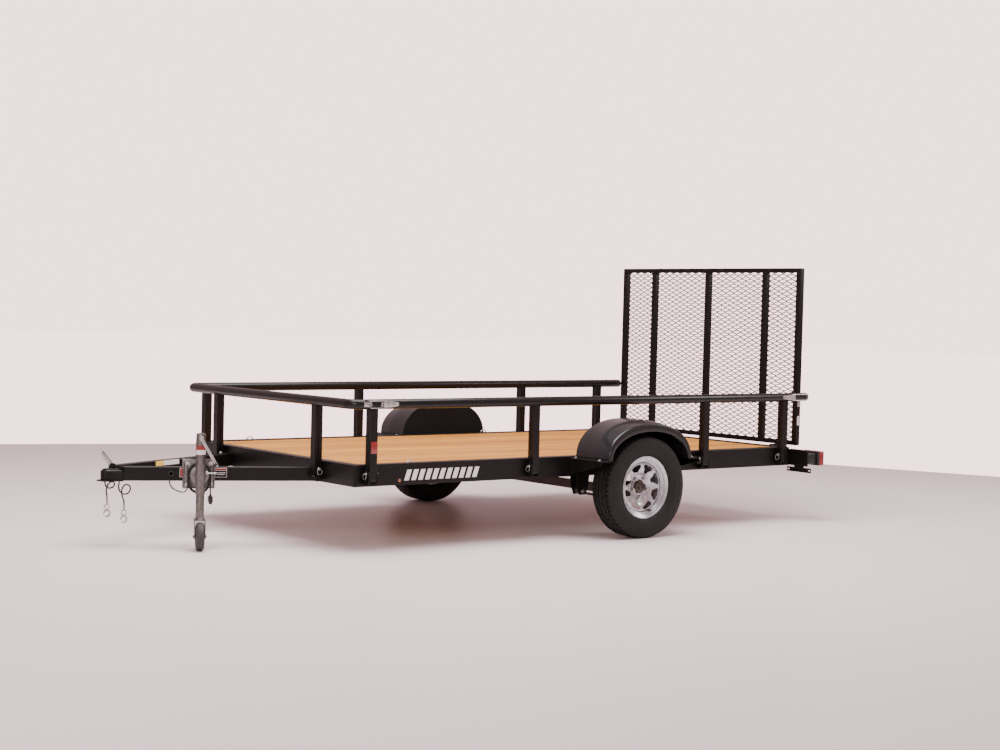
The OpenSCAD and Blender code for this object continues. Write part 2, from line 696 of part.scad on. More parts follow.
module gate_mesh() color("#191818") on_ground()
    translate([gate_x + gate_tube / 2, -gate_half + 4, gate_bottom + 4])
        cube([mesh_t, 2 * gate_half - 8, gate_top - gate_bottom - 8]);

module gate_keepers() color("#b4b3b0") on_ground()
    for (s = [-1, 1])
        translate([gate_x - 16, s > 0 ? gate_half : -gate_half - 10, rail_z - 68]) cube([30, 10, 70]);

// ---------- lights ----------

module light_bracket() {
    translate([-bed_rear - 8, side_y - 70, frame_bottom + 2]) cube([8, light_w + 76, fender_base - frame_bottom - 10]);
    difference() {
        union() {
            translate([-bed_rear - 40, side_y - 8, fender_base - 10]) cube([40, 116, 5]);
            translate([-bed_rear - 20, side_y + 108, fender_base - 10]) cylinder(h = 5, d = 40);
        }
        translate([-bed_rear - 20, side_y + 108, fender_base - 11]) cylinder(h = 7, d = 20);
    }
}
module light_bracket_left() color("#191818") on_ground() light_bracket();
module light_bracket_right() color("#191818") on_ground() mirrored() light_bracket();

module tail_light() {
    translate([tail_x, light_y - light_w / 2, frame_bottom + 4]) cube([light_t, light_w, light_h]);
    translate([tail_x + light_t, light_y - light_w / 2 + 12, frame_bottom + 16])
        cube([light_rear - light_t - bed_rear - 8, light_w - 24, light_h - 24]);
}
module tail_light_left() color("#8f1d1d") on_ground() tail_light();
module tail_light_right() color("#8f1d1d") on_ground() mirrored() tail_light();

// Slotted bar for a number plate, under the left light
module plate_bracket() color("#191818") on_ground()
    translate([-bed_rear - 8 - 3, light_y, frame_bottom - 24]) difference() {
        union() {
            translate([0, -plate_pitch / 2 - 14, -15]) cube([3, plate_pitch + 28, 30]);
            translate([0, -40, 0]) cube([3, 80, 36]);
        }
        for (s = [-1, 1]) translate([-1, s * plate_pitch / 2, 0]) {
            translate([0, -6, -4]) cube([5, 12, 8]);
            for (t = [-1, 1]) translate([0, t * 6, 0]) rod_x(5, 8);
        }
    }

// ---------- wheels ----------

// Turns a section of radius against distance out from the wheel's middle plane
module wheel_turn() {
    on_ground() translate([0, wheel_y, hub_z]) rotate([-90, 0, 0]) rotate_extrude($fn = 96) children();
}

module tyre_section() {
    r = tyre_d / 2;
    w = tyre_w / 2;
    t = tyre_wall;
    bead = bead_d / 2 + fit;
    edge = rim_d / 2 + 1;
    seat = rim_w / 2 - 9.6;
    half = [[bead, seat - t], [bead, seat], [edge, seat + 6], [edge + 9, w - 7], [edge + 32, w],
            [r - 30, w - 4], [r - 7, w - 14], [r, w - 30]];
    inner = [[r - t, w - 34], [r - 34, w - t - 4], [edge + 32, w - t], [edge + 12, w - t - 5],
             [edge - 2, seat - t + 4]];
    polygon(concat(half, [for (i = [7 : -1 : 0]) [half[i][0], -half[i][1]]],
                   [for (i = [4 : -1 : 0]) [inner[i][0], -inner[i][1]]], inner));
}
module tyre_left() color("#1b1a1a") wheel_turn() tyre_section();
module tyre_right() color("#1b1a1a") mirrored() wheel_turn() tyre_section();

// Rim barrel with its flanges and drop well, and the dished disc
module rim_section() {
    w = rim_w / 2;
    b = bead_d / 2;
    f = rim_d / 2;
    t = rim_wall;
    polygon([[f, w], [f, w - 3], [b, w - 9], [b, 22], [b - 16, 12], [b - 16, -22], [b, -34], [b, 9 - w],
             [f, 3 - w], [f, -w], [b - t, 6 - w], [b - t, -36], [b - 16 - t, -24],
             [b - 16 - t, 14], [b - t, 25], [b - t, w - 6]]);
    well = b - 16 - t + 0.5;
    polygon([[34, 6], [80, 6], [100, 26], [well - 12, 32], [well - t, 24], [well - t, -4], [well, -4],
             [well, 26], [well - 10, 32 + t], [98, 26 + t], [78, 6 + t], [34, 6 + t]]);
}
module rim() {
    difference() {
        wheel_turn() rim_section();
        on_ground() translate([0, wheel_y, hub_z]) for (i = [0 : slot_count - 1])
            rotate([0, (i + 0.5) * 360 / slot_count, 0]) {
                translate([-11, 18, 104]) cube([22, 30, 22]);
                translate([0, 18, 126]) rod_y(30, 22);
            }
    }
}
module rim_left() color("#bfc0c2") rim();
module rim_right() color("#bfc0c2") mirrored() rim();

// Hub: mounting flange behind the disc, barrel through it, and the grease cap
module hub() {
    on_ground() translate([0, wheel_y, hub_z]) {
        difference() {
            union() {
                translate([0, -6, 0]) rod_y(12 - fit, 140);
                translate([0, -42, 0]) rod_y(60, hub_d);
                translate([0, 18, 0]) rod_y(30, cap_d);
            }
            translate([0, -43, 0]) rod_y(43, spindle_d + 2 * pin_gap);
        }
    }
}
module hub_left() color("#6d6b6a") hub();
module hub_right() color("#6d6b6a") mirrored() hub();

// ---------- jack ----------

// Clamp plates on both sides of the beam, their four bolts, and the drum that the jack turns on
module jack_mount() color("#b3b2ae") on_ground() on_left_beam(jack_s) {
    mid = tongue_bottom + tongue_h / 2;
    for (y = [seat_gap, -tongue_w - 6 - seat_gap])
        translate([-85, y, mid - 78]) cube([170, 6, 156]);
    for (s = [-1, 1], t = [-1, 1])
        translate([s * 62, -tongue_w - 14, mid + t * 56]) rod_y(tongue_w + 28, 10);
    translate([0, 6, swivel_z]) rod_y(drum_out - 6, drum_d);
}

module jack_tube() color("#b8b7b3") on_ground() on_left_beam(jack_s) {
    difference() {
        translate([0, jack_out, jack_bottom]) cylinder(h = jack_top - jack_bottom, d = jack_d);
        translate([0, jack_out, jack_bottom - 1])
            cylinder(h = jack_top - jack_bottom - 5, d = jack_d - 2 * jack_wall);
    }
    difference() {
        union() {
            translate([0, drum_out + fit, swivel_z]) rod_y(8, drum_d);
            translate([-20, drum_out + fit, swivel_z - 40]) cube([40, jack_out - drum_out, 80]);
        }
        translate([0, jack_out, jack_bottom - 1]) cylinder(h = jack_top, d = jack_d - 1);
    }
    difference() {
        translate([0, jack_out + jack_d / 2 - 6, head_z]) rod_y(14, 30);
        translate([0, jack_out, jack_bottom - 1]) cylinder(h = jack_top, d = jack_d - 1);
        translate([0, jack_out, head_z]) rod_y(40, 12 + 2 * pin_gap);
    }
}

// Crank: its shaft in the head, the arm and the grip pointing out
module jack_crank() color("#c2c1bd") on_ground() on_left_beam(jack_s) {
    start = jack_out + jack_d / 2;
    translate([0, start + 1, head_z]) rod_y(grip_out + 5 - start, 12);
    translate([0, grip_out, head_z]) rotate([0, crank_angle, 0]) {
        translate([-9, 0, -crank_l]) cube([18, 6, crank_l]);
        translate([0, 0, 0]) rod_y(6, 24);
        translate([0, 0, -crank_l]) rod_y(6, 18);
        translate([0, 6, -crank_l]) rod_y(72, 24);
    }
}

module jack_leg() color("#b8b7b3") on_ground() on_left_beam(jack_s) difference() {
    translate([0, jack_out, leg_bottom]) cylinder(h = 330, d = leg_d);
    translate([0, jack_out, leg_bottom + 6]) cylinder(h = 330, d = leg_d - 6);
}

// Caster fork that turns under the leg, with its axle
module jack_fork() color("#b0afab") on_ground() on_left_beam(jack_s) {
    half = jack_wheel_w / 2 + 3;
    r = jack_wheel_d / 2;
    translate([0, jack_out, leg_bottom - 6 - fit]) cylinder(h = 6, d = 56);
    translate([-half - 4, jack_out - 26, leg_bottom - 12 - fit]) cube([2 * half + 8, trail + 26, 6]);
    for (s = [-1, 1])
        translate([s > 0 ? half : -half - 4, jack_out, 0]) rotate([90, 0, 90]) linear_extrude(4)
            polygon([[-26, leg_bottom - 6 - fit], [trail, leg_bottom - 6 - fit], [trail + 16, r + 12],
                     [trail + 14, r - 14], [trail - 14, r - 14], [-26, leg_bottom - 40]]);
    translate([-half - 12, jack_out + trail, r]) rod_x(2 * half + 24, 12);
}

module jack_wheel() color("#3b3937") on_ground() on_left_beam(jack_s)
    translate([0, jack_out + trail, jack_wheel_d / 2]) rotate([0, 90, 0]) rotate_extrude($fn = 64) {
        r = jack_wheel_d / 2;
        w = jack_wheel_w / 2;
        polygon([[6 + pin_gap, -w], [r - 22, -w], [r - 8, -w + 2], [r, -w + 12], [r, w - 12],
                 [r - 8, w - 2], [r - 22, w], [6 + pin_gap, w]]);
    }

// ---------- cords and what is on them ----------

module harness_cable() color("#151515") cord(harness_lead, harness_d);
module harness_end() color("#151515") cord(harness_tail, harness_d);

// Hank of two turns hung over the swivel drum
module harness_coil() color("#151515") on_ground() on_left_beam(jack_s)
    translate([0, 22, 0]) rotate([-90, 0, 0]) linear_extrude(16) mirror([0, 1]) difference() {
        union() {
            for (z = [swivel_z, swivel_z - 40]) translate([0, z]) circle(r = drum_d / 2 + fit + 14);
            translate([-drum_d / 2 - fit - 14, swivel_z - 40]) square([drum_d + 2 * fit + 28, 40]);
        }
        for (z = [swivel_z, swivel_z - 40]) translate([0, z]) circle(r = drum_d / 2 + fit);
        translate([-drum_d / 2 - fit, swivel_z - 40]) square([drum_d + 2 * fit, 40]);
    }

module harness_plug() color("#131313")
    translate([1770, 294, 232]) {
        translate([-9, -16, 0]) cube([18, 32, 44]);
        translate([0, 0, 44]) cylinder(h = 12, d1 = 20, d2 = 9);
    }

module safety_cable_left() color("#181818") cord(left_cable, cable_d);
module safety_cable_right() color("#181818") cord(right_cable, cable_d);

// Ferrule, thimble ring and open hook, hanging from a cable's end
module safety_hook() {
    translate([0, 0, -22]) cylinder(h = 22, d = 13);
    translate([0, 0, -38]) rotate([90, 0, 0]) rotate_extrude() translate([14, 0]) circle(d = 6);
    translate([0, 0, -74]) rotate([90, 0, 0]) rotate_extrude(angle = 300) translate([17, 0]) circle(d = 8);
}
module safety_hook_left() color("#a5a5a3") translate(1000 * left_cable[len(left_cable) - 1]) safety_hook();
module safety_hook_right() color("#a5a5a3") translate(1000 * right_cable[len(right_cable) - 1]) safety_hook();

side_frame_left();
side_frame_right();
front_beam();
rear_beam();
floor_bearers();
deck_boards();
tongue_beam_left();
tongue_beam_right();
coupler();
coupler_lever();
axle_beam();
leaf_spring_left();
leaf_spring_right();
spring_hangers_left();
spring_hangers_right();
fender_left();
fender_right();
fender_steps_left();
fender_steps_right();
post_brackets_left();
post_brackets_right();
post_brackets_front();
gate_hinges();
light_bracket_left();
light_bracket_right();
tail_light_left();
tail_light_right();
plate_bracket();
side_rail_left();
side_rail_right();
front_rail();
latches_left();
latches_right();
gate_frame();
gate_mesh();
gate_keepers();
tyre_left();
tyre_right();
rim_left();
rim_right();
hub_left();
hub_right();
jack_mount();
jack_tube();
jack_crank();
jack_leg();
jack_fork();
jack_wheel();
harness_cable();
harness_coil();
harness_end();
harness_plug();
safety_cable_left();
safety_cable_right();
safety_hook_left();
safety_hook_right();
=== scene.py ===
# Single-axle utility trailer with folding tube rails and a mesh ramp gate, in metres.
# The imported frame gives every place; each section adds or finishes one group of its parts.
import math

import bmesh
import bpy
from mathutils import Matrix, Vector


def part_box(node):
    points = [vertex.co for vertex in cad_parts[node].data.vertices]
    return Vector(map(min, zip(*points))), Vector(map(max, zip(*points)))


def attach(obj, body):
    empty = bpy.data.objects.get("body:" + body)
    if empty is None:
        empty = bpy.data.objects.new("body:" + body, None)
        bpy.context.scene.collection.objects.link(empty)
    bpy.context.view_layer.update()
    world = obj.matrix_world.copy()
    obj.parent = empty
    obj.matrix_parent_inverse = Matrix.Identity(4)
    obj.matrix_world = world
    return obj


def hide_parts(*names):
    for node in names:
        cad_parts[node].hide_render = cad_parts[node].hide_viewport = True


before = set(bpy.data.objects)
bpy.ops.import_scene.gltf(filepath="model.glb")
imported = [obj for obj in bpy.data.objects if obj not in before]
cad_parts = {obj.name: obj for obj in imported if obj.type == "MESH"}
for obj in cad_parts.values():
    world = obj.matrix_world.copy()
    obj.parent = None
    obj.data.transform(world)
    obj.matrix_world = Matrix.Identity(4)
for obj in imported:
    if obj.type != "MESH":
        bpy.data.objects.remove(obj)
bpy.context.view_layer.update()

scene = bpy.context.scene

# ---- Camera, floor and lights ----
# A long lens at standing height, off the left front corner. The floor is pale concrete,
# and the light comes from one broad overhead bank with a weaker one beside the camera.
yaw, pitch, roll = 0.66369, -0.03799, 0.02497
forward = Vector((-math.sin(yaw) * math.cos(pitch), -math.cos(yaw) * math.cos(pitch), math.sin(pitch)))
level = Vector((-math.cos(yaw), math.sin(yaw), 0))
lens_right = math.cos(roll) * level + math.sin(roll) * level.cross(forward)
camera = bpy.data.objects.new("camera", bpy.data.cameras.new("camera"))
camera.data.sensor_width = 36
camera.data.lens = 62.51
camera.matrix_world = Matrix.Translation((6.285, 8.5666, 1.3197)) @ Matrix((lens_right,
        lens_right.cross(forward), -forward)).transposed().to_4x4()
scene.collection.objects.link(camera)
scene.camera = camera


def softbox(name, place, target, size, power, tint):
    lamp = bpy.data.objects.new(name, bpy.data.lights.new(name, "AREA"))
    lamp.data.shape = "RECTANGLE"
    lamp.data.size, lamp.data.size_y = size
    lamp.data.energy = power
    lamp.data.color = tint
    lamp.matrix_world = Matrix.Translation(place) @ (Vector(target) - Vector(place)).to_track_quat("-Z",
            "Y").to_matrix().to_4x4()
    scene.collection.objects.link(lamp)


softbox("bank_overhead", (0.6, 0.8, 5.6), (0, 0, 0.3), (5.0, 3.6), 800, (1.0, 0.975, 0.96))
softbox("bank_camera", (7.5, 5.0, 3.4), (0.4, 0.2, 0.5), (2.2, 1.4), 250, (1.0, 0.98, 0.97))
softbox("bank_rear", (-6.0, 3.5, 3.6), (-0.8, 0, 0.6), (2.6, 1.6), 150, (0.98, 0.98, 1.0))
world = bpy.data.worlds.new("backdrop")
scene.world = world
world.use_nodes = True
backdrop_pink, backdrop_seen = (0.94, 0.64, 0.65, 1), 3.8
world.node_tree.nodes["Background"].inputs[0].default_value = backdrop_pink


def add_node(tree, kind, inputs={}, **settings):
    """A shader node with its settings, and its sockets set to values or linked."""
    made = tree.nodes.new("ShaderNode" + kind)
    for key, value in settings.items():
        setattr(made, key, value)
    for key, value in inputs.items():
        if isinstance(value, bpy.types.NodeSocket):
            tree.links.new(value, made.inputs[key])
        else:
            made.inputs[key].default_value = value
    return made


def new_group(name, inputs, outputs):
    """An empty shader node group with float or colour sockets."""
    tree = bpy.data.node_groups.new(name, "ShaderNodeTree")
    for label, default in inputs:
        kind = "NodeSocketFloat" if isinstance(default, (int, float)) else "NodeSocketColor"
        made = tree.interface.new_socket(name=label, in_out="INPUT", socket_type=kind)
        made.default_value = default
    for label, kind in outputs:
        tree.interface.new_socket(name=label, in_out="OUTPUT", socket_type="NodeSocket" + kind)
    return tree, tree.nodes.new("NodeGroupInput"), tree.nodes.new("NodeGroupOutput")


def use_group(tree, group, inputs={}):
    """A node in tree that uses a node group."""
    made = tree.nodes.new("ShaderNodeGroup")
    made.node_tree = group
    for key, value in inputs.items():
        made.inputs[key].default_value = value
    return made


def new_finish(name, **constants):
    """A material with its Principled shader, whose plain numbers are set on its own sockets."""
    made = bpy.data.materials.new(name)
    made.use_nodes = True
    shader = made.node_tree.nodes["Principled BSDF"]
    for key, value in constants.items():
        shader.inputs[key.replace("_", " ").title().replace("Ior", "IOR")].default_value = value
    return made, made.node_tree, shader


def mix_tones(tree, share, *tones):
    """A colour between two tones, each a socket or three numbers."""
    a, b = ((*tone, 1) if isinstance(tone, tuple) else tone for tone in tones)
    return add_node(tree, "Mix", {"Factor": share, "A": a, "B": b}, data_type="RGBA").outputs["Result"]


def link_finish(tree, shader, color, roughness=None, height=None, strength=0.0, distance=0.0):
    """Links a finish's colour, roughness and bump to its shader."""
    tree.links.new(color, shader.inputs["Base Color"])
    if roughness is not None:
        tree.links.new(roughness, shader.inputs["Roughness"])
    if height is not None:
        relief = add_node(tree, "Bump", {"Height": height, "Strength": strength, "Distance": distance})
        tree.links.new(relief.outputs["Normal"], shader.inputs["Normal"])


def math_node(tree, operation, *values):
    """The output of a Math node."""
    return add_node(tree, "Math", dict(enumerate(values)), operation=operation).outputs[0]


# The backdrop is brighter to the eye than the light that it gives
seen = add_node(world.node_tree, "LightPath").outputs["Is Camera Ray"]
glow = add_node(world.node_tree, "MapRange", {"Value": seen, "To Min": 0.8, "To Max": backdrop_seen})
world.node_tree.links.new(glow.outputs[0], world.node_tree.nodes["Background"].inputs[1])

# Cloud: soft patches and fine speckle on Object coordinates, for dust, wear and colour drift
cloud, cloud_in, cloud_out = new_group("cloud", [("Patch Scale", 2.0), ("Speckle Scale", 120.0)],
                                       [("Patches", "Float"), ("Speckle", "Float")])
cloud_place = add_node(cloud, "TexCoord").outputs["Object"]
patches = add_node(cloud, "TexNoise", {"Vector": cloud_place, "Scale": cloud_in.outputs[0], "Detail": 4.0})
speckle = add_node(cloud, "TexNoise", {"Vector": cloud_place, "Scale": cloud_in.outputs[1], "Detail": 3.0})
cloud.links.new(patches.outputs["Fac"], cloud_out.inputs[0])
cloud.links.new(speckle.outputs["Fac"], cloud_out.inputs[1])

floor_finish, tree, shader = new_finish("floor_concrete", roughness=0.34, specular_ior_level=0.35)
spots = use_group(tree, cloud, {"Patch Scale": 0.6, "Speckle Scale": 35.0})
tone = mix_tones(tree, spots.outputs["Patches"], (0.76, 0.665, 0.675), (0.84, 0.745, 0.75))
grit = mix_tones(tree, spots.outputs["Speckle"], tone, (0.8, 0.71, 0.715))
# Past two straight lines, where a wall would stand, the floor glows like the backdrop
spot = add_node(tree, "SeparateXYZ", {"Vector": add_node(tree, "TexCoord").outputs["Object"]})
walls = []
for (ax, ay), (bx, by) in (((-0.37, -6.17), (-4.49, -4.79)), ((-4.49, -4.79), (-6.14, -0.39))):
    out_x, out_y = ay - by, bx - ax
    size = math.hypot(out_x, out_y)
    along_x = math_node(tree, "MULTIPLY", spot.outputs["X"], out_x / size)
    past = math_node(tree, "MULTIPLY_ADD", spot.outputs["Y"], out_y / size, along_x)
    walls.append(math_node(tree, "SUBTRACT", past, (ax * out_x + ay * out_y) / size))
wall_edge = 0.04
wall_share = add_node(tree, "MapRange", {"Value": math_node(tree, "MAXIMUM", *walls), "From Max": wall_edge})
camera_seen = add_node(tree, "LightPath").outputs["Is Camera Ray"]
wall_glow = add_node(tree, "MapRange", {"Value": camera_seen, "To Min": 0.3, "To Max": backdrop_seen})
wall_light = math_node(tree, "MULTIPLY", wall_share.outputs[0], wall_glow.outputs[0])
shader.inputs["Emission Color"].default_value = backdrop_pink
tree.links.new(wall_light, shader.inputs["Emission Strength"])
link_finish(tree, shader, mix_tones(tree, wall_share.outputs[0], grit, (0, 0, 0)))
bm = bmesh.new()
bmesh.ops.create_circle(bm, cap_ends=True, segments=96, radius=60)
floor_mesh = bpy.data.meshes.new("floor")
bm.to_mesh(floor_mesh)
floor = bpy.data.objects.new("floor", floor_mesh)
floor_mesh.materials.append(floor_finish)
scene.collection.objects.link(floor)

# ---- Safety cables ----
# Two plastic-covered steel cables, 8 mm over the cover, fixed inside the coupler. Each hangs in
# a loop under it and ends in a swaged ferrule with a thimble and a forged zinc hook.
def moulded(name, tones, scales, shine=None, relief=None, wear_and_highlight=None, wear_and_highlight_tones=(), **constants):
    """Plastic, rubber or paper: two tones in patches, a speckled shine, dust, and lighter edges that are
    partly rubbed and partly painted highlight.
    """
    made, tree, shader = new_finish(name, **constants)
    sources = use_group(tree, cloud, dict(zip(("Patch Scale", "Speckle Scale"), scales))).outputs
    color, roughness, height = mix_tones(tree, sources["Patches"], *tones), None, None
    # Dust and edge marks; the lighter edge tone is partly wear and partly a painted edge highlight
    if wear_and_highlight:
        marks = use_group(tree, grime_and_edge_highlight, wear_and_highlight).outputs
        for mask, tone in zip(("Dust", "Edge"), wear_and_highlight_tones):
            color = mix_tones(tree, marks[mask], color, tone)
    if shine:
        source, low, high = shine
        roughness = add_node(tree, "MapRange", {"Value": sources[source], "To Min": low,
                                                "To Max": high}).outputs[0]
    if relief:
        source, *amount = relief
        height = (marks if source == "Peel" else sources)[source]
    link_finish(tree, shader, color, roughness, height, *(amount if relief else ()))
    return made


cover_finish = moulded("cord_cover", ((0.006, 0.0055, 0.0055), (0.014, 0.013, 0.0125)), (14.0, 260.0),
                       ("Speckle", 0.34, 0.55), ("Speckle", 0.15, 0.0004), coat_weight=0.1,
                       specular_ior_level=0.3)


def smooth_route(points, steps):
    """Catmull-Rom points through a route, with the given number of steps to a span."""
    points = [Vector(p) for p in points]
    last = len(points) - 1
    route = []
    for i in range(last):
        a, b, c, d = points[max(i - 1, 0)], points[i], points[i + 1], points[min(i + 2, last)]
        for k in range(steps):
            t = k / steps
            route.append(0.5 * (2 * b + (c - a) * t + (2 * a - 5 * b + 4 * c - d) * t * t + (3 * b - a - 3 * c + d) * t ** 3))
    return route + [points[last]]


def round_cord(name, route, diameter, finish, sides=4):
    """A curve of one open line through the route, round in section."""
    line = bpy.data.curves.new(name, "CURVE")
    line.dimensions = "3D"
    line.bevel_depth = diameter / 2
    line.bevel_resolution = sides
    line.use_fill_caps = True
    run = line.splines.new("POLY")
    run.points.add(len(route) - 1)
    for spot, at in zip(run.points, route):
        spot.co = (*at, 1)
    run.use_smooth = True
    line.materials.append(finish)
    made = bpy.data.objects.new(name, line)
    scene.collection.objects.link(made)
    return made


def verts_of(geom):
    return [part for part in geom if isinstance(part, bmesh.types.BMVert)]


def faces_of(geom):
    return [part for part in geom if isinstance(part, bmesh.types.BMFace)]


def soften(bm, edges, offset, segments=2, clamp=False):
    """Rounds edges."""
    bmesh.ops.bevel(bm, geom=edges, offset=offset, segments=segments, profile=0.5, affect="EDGES",
                    material=-1, clamp_overlap=clamp)


def thick(corners, depth):
    """A flat outline of corners, given its thickness along a vector."""
    bm = bmesh.new()
    face = bm.faces.new([bm.verts.new(corner) for corner in corners])
    raised = bmesh.ops.extrude_face_region(bm, geom=[face])["geom"]
    bmesh.ops.translate(bm, vec=depth, verts=verts_of(raised))
    return bm


def settle(bm):
    """Merges doubles and turns every face outwards."""
    bmesh.ops.remove_doubles(bm, verts=bm.verts, dist=1e-5)
    bmesh.ops.dissolve_degenerate(bm, edges=bm.edges, dist=1e-6)
    bmesh.ops.recalc_face_normals(bm, faces=bm.faces)


def put_in(bm, part, place=Matrix.Identity(4)):
    """Moves one mesh into another, set in place."""
    settle(part)
    bmesh.ops.transform(part, matrix=place, verts=part.verts)
    if place.determinant() < 0:
        bmesh.ops.reverse_faces(part, faces=part.faces)
    carrier = bpy.data.meshes.new("carrier")
    part.to_mesh(carrier)
    part.free()
    bm.from_mesh(carrier)
    bpy.data.meshes.remove(carrier)


def finished(name, bm, finish, body, replaced=(), crease=32):
    """Makes the object of a mesh, shaded smooth up to the crease angle, riding on its body."""
    for face in bm.faces:
        face.smooth = True
    for edge in bm.edges:
        edge.smooth = len(edge.link_faces) == 2 and edge.calc_face_angle(0) < math.radians(crease)
    mesh = bpy.data.meshes.new(name)
    bm.to_mesh(mesh)
    bm.free()
    mesh.materials.append(finish)
    made = bpy.data.objects.new(name, mesh)
    scene.collection.objects.link(made)
    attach(made, body)
    if replaced:
        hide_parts(*replaced)
    return made


def turning(profile, steps=48, closed=True):
    """Turns a profile of (radius, height) points round Z."""
    bm = bmesh.new()
    dots = [bm.verts.new((r, 0, z)) for r, z in profile]
    ring = dots + dots[:1] if closed else dots
    sides = [bm.edges.new(pair) for pair in zip(ring, ring[1:])]
    bmesh.ops.spin(bm, geom=dots + sides, cent=(0, 0, 0), axis=(0, 0, 1), angle=math.tau, steps=steps,
                   use_merge=True)
    return bm


def torus(ring_r, wire_r, steps=32, sides=10, angle=math.tau):
    """A round wire bent round Z, open or closed."""
    bm = bmesh.new()
    made = bmesh.ops.create_circle(bm, cap_ends=angle < math.tau, segments=sides, radius=wire_r,
                                   matrix=Matrix.Translation((ring_r, 0, 0)) @ Matrix.Rotation(math.pi / 2, 4,
                                           "X"))
    bmesh.ops.spin(bm, geom=bm.verts[:] + bm.edges[:] + bm.faces[:], cent=(0, 0, 0), axis=(0, 0, 1),
                   angle=angle, steps=steps, use_merge=angle == math.tau)
    return bm


def moved(x, y, z):
    return Matrix.Translation((x, y, z))


def turned(degrees, axis):
    return Matrix.Rotation(math.radians(degrees), 4, axis)


def lathe(bm, rows, steps, place=Matrix.Identity(4)):
    """Puts a closed turning into a mesh."""
    put_in(bm, turning(rows, steps), place)


def cored(bm, rows, steps, place=Matrix.Identity(4)):
    """Puts a turning with flat ends that reach its axis into a mesh."""
    lathe(bm, [(axis_r, rows[0][1]), *rows, (axis_r, rows[-1][1])], steps, place)


def rod(bm, r, low, high, steps, place=Matrix.Identity(4)):
    """Puts a plain round bar along Z into a mesh."""
    cored(bm, [(r, low), (r, high)], steps, place)


axis_r = 0.0001

# Zinc plate: a spangled, slightly cloudy metal
spangle, spangle_in, spangle_out = new_group("spangle", [("Scale", 90.0), ("Light", (0.7, 0.7, 0.68, 1)),
        ("Dark", (0.42, 0.42, 0.41, 1))], [("Color", "Color"), ("Roughness", "Float"), ("Height", "Float")])
here = add_node(spangle, "TexCoord").outputs["Object"]
flakes = add_node(spangle, "TexVoronoi", {"Vector": here, "Scale": spangle_in.outputs[0]})
drift = add_node(spangle, "TexNoise", {"Vector": here, "Scale": 28.0, "Detail": 5.0})
flake_tone = add_node(spangle, "SeparateColor", {"Color": flakes.outputs["Color"]})
share = math_node(spangle, "MULTIPLY", flake_tone.outputs["Red"], drift.outputs["Fac"])
metal_tone = mix_tones(spangle, share, spangle_in.outputs[1], spangle_in.outputs[2])
metal_dull = add_node(spangle, "MapRange", {"Value": drift.outputs["Fac"], "To Min": 0.22, "To Max": 0.52})
for sink, source in enumerate((metal_tone, metal_dull.outputs[0], drift.outputs["Fac"])):
    spangle.links.new(source, spangle_out.inputs[sink])


def metal_finish(name, scale, light, dark, metallic=0.9):
    made, tree, shader = new_finish(name, metallic=metallic)
    flecks = use_group(tree, spangle, {"Scale": scale, "Light": light, "Dark": dark})
    link_finish(tree, shader, *flecks.outputs, strength=0.12, distance=0.0006)
    return made


zinc = metal_finish("zinc_plate", 160.0, (0.5, 0.495, 0.475, 1), (0.22, 0.22, 0.21, 1))

cable_d = 0.008
cable_routes = {"left": [(2.19, 0.058, 0.3505), (2.19, 0.058, 0.338), (2.196, 0.066, 0.322),
                         (2.192, 0.074, 0.3), (2.172, 0.082, 0.284), (2.148, 0.088, 0.292),
                         (2.14, 0.092, 0.315), (2.152, 0.094, 0.334), (2.174, 0.092, 0.334),
                         (2.188, 0.09, 0.312), (2.187, 0.09, 0.28), (2.178, 0.092, 0.252),
                         (2.176, 0.092, 0.238), (2.176, 0.092, 0.226)], "right": [(2.224, -0.042, 0.3505),
                                 (2.224, -0.042, 0.337), (2.216, -0.048, 0.318), (2.196, -0.054, 0.305),
                                 (2.173, -0.056, 0.308), (2.163, -0.053, 0.323), (2.173, -0.049, 0.338),
                                 (2.193, -0.045, 0.337), (2.209, -0.042, 0.32), (2.216, -0.041, 0.296),
                                 (2.213, -0.041, 0.272), (2.211, -0.041, 0.256), (2.211, -0.041, 0.244)],}
for side, stops in cable_routes.items():
    route = smooth_route(stops, 3)
    cable = round_cord("covered_cable_" + side, route, cable_d, cover_finish)
    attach(cable, "chassis")
    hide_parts("safety_cable_" + side)
    end = Matrix.Translation(route[-1])
    bm = bmesh.new()
    lathe(bm, [(0.0043, 0.001), (0.0058, 0), (0.0065, -0.003), (0.0065, -0.019), (0.0052, -0.022),
               (0.0001, -0.022), (0.0001, 0.001)], 24, end)
    upright = end @ moved(0, 0, -0.038) @ turned(90, "X")
    put_in(bm, torus(0.014, 0.003), upright)
    put_in(bm, torus(0.017, 0.004, steps=30, angle=math.radians(300)), end @ moved(0, 0, -0.074) @ turned(90,
            "X"))
    rod(bm, 0.0036, -0.002, 0.016, 16, end @ moved(0, 0, -0.074) @ turned(90, "X") @ turned(150, "Z")
        @ moved(0.017, 0, 0) @ turned(-20, "Z") @ turned(90, "X"))
    hook = finished("cable_hook_" + side, bm, zinc, "chassis", ["safety_hook_" + side])

# ---- Wiring harness ----
# One flat-jacketed lead to the towing vehicle. It comes out of the left tongue beam, is hung in
# two and a half turns over the jack's drum, and drops to its moulded four-way plug.
jack_place = Matrix(((0.9107, 0.4131, 0, 1.8123), (-0.4131, 0.9107, 0, 0.2391), (0, 0, 1, 0), (0, 0, 0, 1)))
harness_d = 0.007
lead = [(1.942, 0.155, 0.3545), (1.942, 0.155, 0.342), (1.934, 0.176, 0.314), (1.906, 0.216, 0.297),
        (1.892, 0.228, 0.299), (1.882, 0.2335, 0.308), (1.877, 0.2355, 0.325)]
tail = [(1.769, 0.2915, 0.34), (1.769, 0.2925, 0.32), (1.77, 0.294, 0.305), (1.77, 0.294, 0.288)]
coil_top, coil_low = 0.393, 0.353
strands = [(0.0545, 0.0258), (0.0545, 0.0336), (0.0612, 0.03)]


